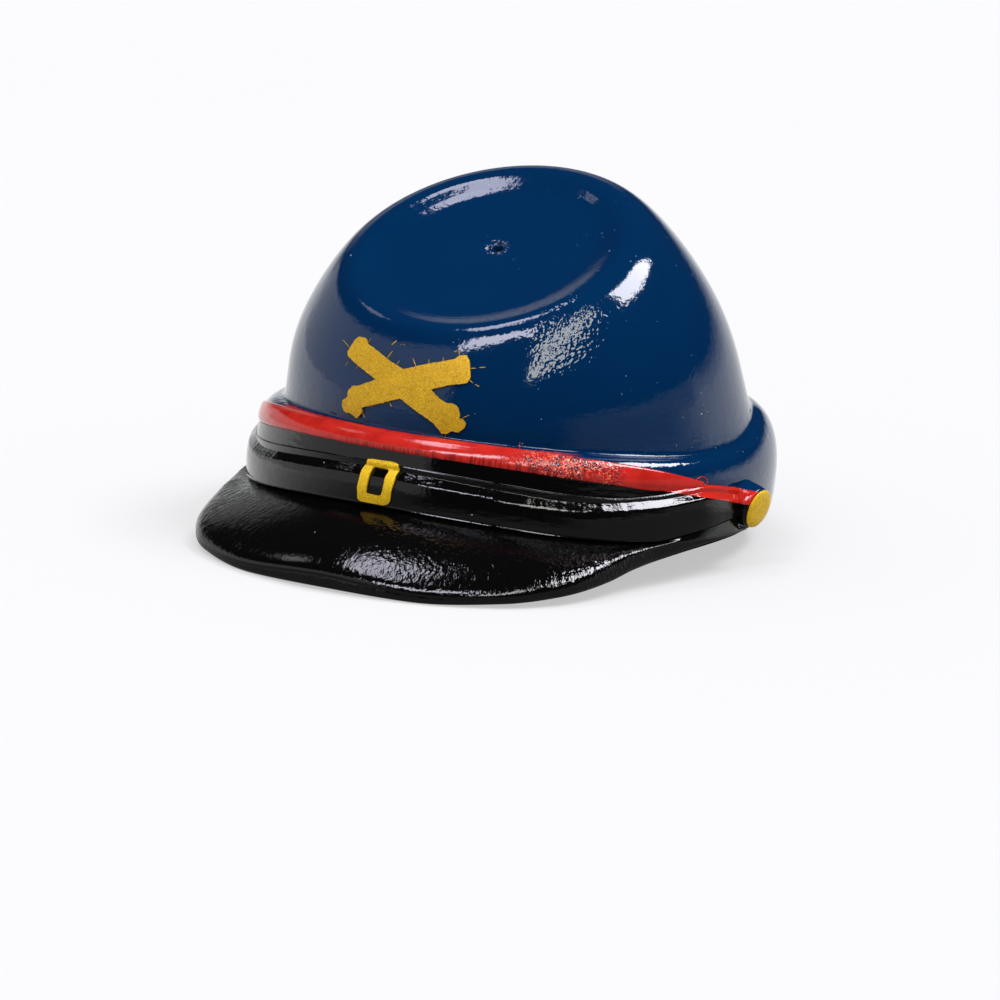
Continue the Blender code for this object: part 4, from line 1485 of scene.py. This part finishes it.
def wisp(bm, tree, radius, *route):
    """Adds a hair of paint that runs over a surface, or a speck where the route is one point."""
    points = [Vector(point) for point in route]
    if len(points) == 1:
        points.append(points[0] + Vector((0.4 * radius, 0.0, 0.6 * radius)))
    rings = []
    for index, (a, b) in enumerate(zip(points, points[1:])):
        steps = 8 if len(points) == 2 else 4
        for share in spread(0.0, 1.0, steps)[index > 0:]:
            place, facing = tree.find_nearest(a.lerp(b, share))[:2]
            along = (b - a).normalized()
            across = along.cross(facing).normalized()
            done = (index + share) / (len(points) - 1)
            swell = math.sqrt(max(4 * done * (1 - done), 0.0))
            thin = radius * (WISP_LEAST + WISP_SWELL * swell)
            rings.append([
                place + (GAP / 3 + thin * math.sin(turn)) * facing + thin * math.cos(turn) * across
                for turn in spread(0.0, 2 * math.pi, WISP_SIDES)[:-1]
            ])
    loft(rings, bm)


class KEPI_OT_wisps(bpy.types.Operator):
    """Lays the stray hairs and specks of gold and red paint on the crown"""

    bl_idname = "kepi.wisps"
    bl_label = "Stray paint"

    def execute(self, context):
        tree = piece_tree("crown_moulding")
        for name, rows in (("gold_wisps", GOLD_WISPS), ("red_wisps", RED_WISPS)):
            bm = bmesh.new()
            for row in rows:
                wisp(bm, tree, *row)
            finish_piece(name, bm)
        return {"FINISHED"}


# Stage

def direction(azimuth, elevation):
    """Unit direction at an azimuth from the front, turning to +X, and an elevation."""
    flat = math.cos(elevation)
    return Vector((
        math.sin(azimuth) * flat, -math.cos(azimuth) * flat, math.sin(elevation),
    ))


def make_floor_material():
    """A pale floor that the cap's gloss sees dimmer, but for the part behind the cap.

    Beyond the peak's edge, towards the camera, the gloss sees it nearly black.
    """
    material = bpy.data.materials.new("white_table")
    material.use_nodes = True
    graph = Graph(material.node_tree)
    graph.tree.nodes.clear()
    coordinates = graph.add("ShaderNodeTexCoord", {}).outputs["Object"]
    cloud = graph.noise(coordinates, 30.0)
    colour = graph.blend(cloud, *((*[shade] * 3, 1.0) for shade in FLOOR_SHADES))
    diffuse = graph.add("ShaderNodeBsdfDiffuse", {"Color": colour}).outputs[0]
    paper = graph.add("ShaderNodeEmission", {"Strength": FLOOR_GLOW}).outputs[0]
    lit = graph.add("ShaderNodeMixShader", {0: 0.5, 1: diffuse, 2: paper}).outputs[0]

    turn = graph.bearing(graph.parts(coordinates))
    middle, *ends = FLOOR_DIM
    off = graph.calc("WRAP", graph.minus(turn, middle), 180.0, -180.0)
    behind = graph.plus(graph.ramp(off, *ends[:2]), graph.ramp(off, *ends[2:]))
    least, rest = FLOOR_GLOSS
    shade = graph.times_plus(behind, rest, least)
    middle, *ends = FLOOR_DARK
    aside = graph.ramp(graph.calc("ABSOLUTE", graph.minus(turn, middle)), *ends)
    away = graph.add("ShaderNodeVectorMath", {0: coordinates}, operation="LENGTH")
    near = graph.ramp(away.outputs["Value"], *FLOOR_LIT_REACH, 1.0, 0.1)
    shade = graph.times(shade, graph.calc("MAXIMUM", near, aside))
    dark = graph.add("ShaderNodeEmission", {"Strength": shade}).outputs[0]
    ray = graph.add("ShaderNodeLightPath", {}).outputs["Is Glossy Ray"]
    mixed = graph.add("ShaderNodeMixShader", {0: ray, 1: lit, 2: dark}).outputs[0]
    graph.add("ShaderNodeOutputMaterial", {"Surface": mixed})
    return material


def make_air(brightness):
    """The air round the cap: white behind it, and dark with panels of light in its gloss."""
    world = bpy.data.worlds.new("studio")
    world.use_nodes = True
    graph = Graph(world.node_tree)
    graph.tree.nodes.clear()
    parts = graph.parts(graph.add("ShaderNodeTexCoord", {}).outputs["Generated"])
    turn = graph.bearing(parts)
    rise = graph.times(graph.calc("ARCSINE", parts["Z"]), 180 / math.pi)
    colour = AIR_GLOW
    for row in LIGHTS[1:]:
        light = dict(zip(LIGHTS[0], row))
        sides = {side.title(): light[side] for side in PANEL_SIDES}
        mask = graph.use("softbox", {"Azimuth": turn, "Elevation": rise, **sides})["Mask"]
        panel = (*(part * light["brightness"] for part in light["tint"]), 1.0)
        colour = graph.blend(mask, colour, panel)

    ray = graph.add("ShaderNodeLightPath", {}).outputs
    dome = graph.times(graph.calc("MAXIMUM", parts["Z"], 0.0), DOME)
    dome = graph.times(dome, ray["Is Diffuse Ray"])
    dome = graph.add("ShaderNodeCombineColor", {"Red": dome, "Green": dome, "Blue": dome})
    colour = graph.blend(1.0, colour, dome.outputs[0], "ADD")
    gloss = graph.ramp(ray["Ray Depth"], 2.0, 3.0, brightness, LATER_BOUNCES * brightness)
    dull = graph.times(ray["Is Diffuse Ray"], brightness)
    strength = graph.calc("MAXIMUM", gloss, dull)
    lit = graph.add("ShaderNodeBackground", {"Color": colour, "Strength": strength})
    white = graph.add("ShaderNodeBackground", {"Color": (1, 1, 1, 1), "Strength": BACKDROP})
    inputs = {0: ray["Is Camera Ray"], 1: lit.outputs[0], 2: white.outputs[0]}
    mixed = graph.add("ShaderNodeMixShader", inputs).outputs[0]
    graph.add("ShaderNodeOutputWorld", {"Surface": mixed})
    return world


class KEPI_OT_studio(bpy.types.Operator):
    """Sets up the floor, the lights and the camera"""

    bl_idname = "kepi.studio"
    bl_label = "Studio"

    def execute(self, context):
        scene = context.scene
        studio = scene.kepi_studio
        scene.view_settings.view_transform = "Standard"
        scene.world = make_air(studio.brightness)

        bm = bmesh.new()
        bmesh.ops.create_circle(bm, cap_ends=True, segments=96, radius=FLOOR_RADIUS)
        mesh = bpy.data.meshes.new("floor")
        bm.to_mesh(mesh)
        bm.free()
        mesh.materials.append(make_floor_material())
        floor = bpy.data.objects.new("floor", mesh)
        scene.collection.objects.link(floor)

        back = direction(studio.azimuth, studio.elevation)
        right = Vector((math.cos(studio.azimuth), math.sin(studio.azimuth), 0.0))
        up = back.cross(right)
        cosine, sine = math.cos(studio.roll), math.sin(studio.roll)
        right, up = cosine * right + sine * up, cosine * up - sine * right
        aim = AIM[0] * right + AIM[1] * up
        place = back * studio.distance / MM + aim
        turn = Matrix((right, up, back)).transposed().to_4x4()
        data = bpy.data.cameras.new("photo_camera")
        data.lens = studio.lens
        data.sensor_width = SENSOR_WIDTH
        camera = bpy.data.objects.new("photo_camera", data)
        camera.matrix_world = (
            Matrix.Translation(CAP_TO_WORLD @ place)
            @ Matrix.Rotation(LEAN, 4, "X")
            @ turn
        )
        data.clip_start = 0.01
        data.clip_end = 10.0
        scene.collection.objects.link(camera)
        scene.camera = camera
        return {"FINISHED"}


OPERATORS = (
    KEPI_OT_finishes,
    KEPI_OT_crown,
    KEPI_OT_piping,
    KEPI_OT_chin_strap,
    KEPI_OT_peak,
    KEPI_OT_buckle,
    KEPI_OT_cannons,
    KEPI_OT_buttons,
    KEPI_OT_wisps,
    KEPI_OT_studio,
)


class KEPI_PT_pieces(bpy.types.Panel):
    """Lists the cap's pieces and settings"""

    bl_idname = "KEPI_PT_pieces"
    bl_label = "Toy kepi cap"
    bl_space_type = "VIEW_3D"
    bl_region_type = "UI"
    bl_category = "Kepi"

    def draw(self, context):
        for operator in OPERATORS:
            self.layout.operator(operator.bl_idname)
        for name in SETTINGS:
            settings = getattr(context.scene, name)
            box = self.layout.box()
            for field in settings.__annotations__:
                box.prop(settings, field)


SETTINGS = {"kepi_shape": KepiShape, "kepi_finish": KepiFinish, "kepi_studio": KepiStudio}


def register():
    for kind in (*SETTINGS.values(), *OPERATORS, KEPI_PT_pieces):
        bpy.utils.register_class(kind)
    for name, kind in SETTINGS.items():
        setattr(bpy.types.Scene, name, PointerProperty(type=kind))


def unregister():
    for name in SETTINGS:
        delattr(bpy.types.Scene, name)
    for kind in reversed((*SETTINGS.values(), *OPERATORS, KEPI_PT_pieces)):
        bpy.utils.unregister_class(kind)


def main():
    register()
    bpy.ops.kepi.finishes()
    bpy.ops.kepi.crown()
    bpy.ops.kepi.piping()
    bpy.ops.kepi.chin_strap()
    bpy.ops.kepi.peak()
    bpy.ops.kepi.buckle()
    bpy.ops.kepi.cannons()
    bpy.ops.kepi.buttons()
    bpy.ops.kepi.wisps()
    bpy.ops.kepi.studio()


if __name__ == "__main__":
    main()
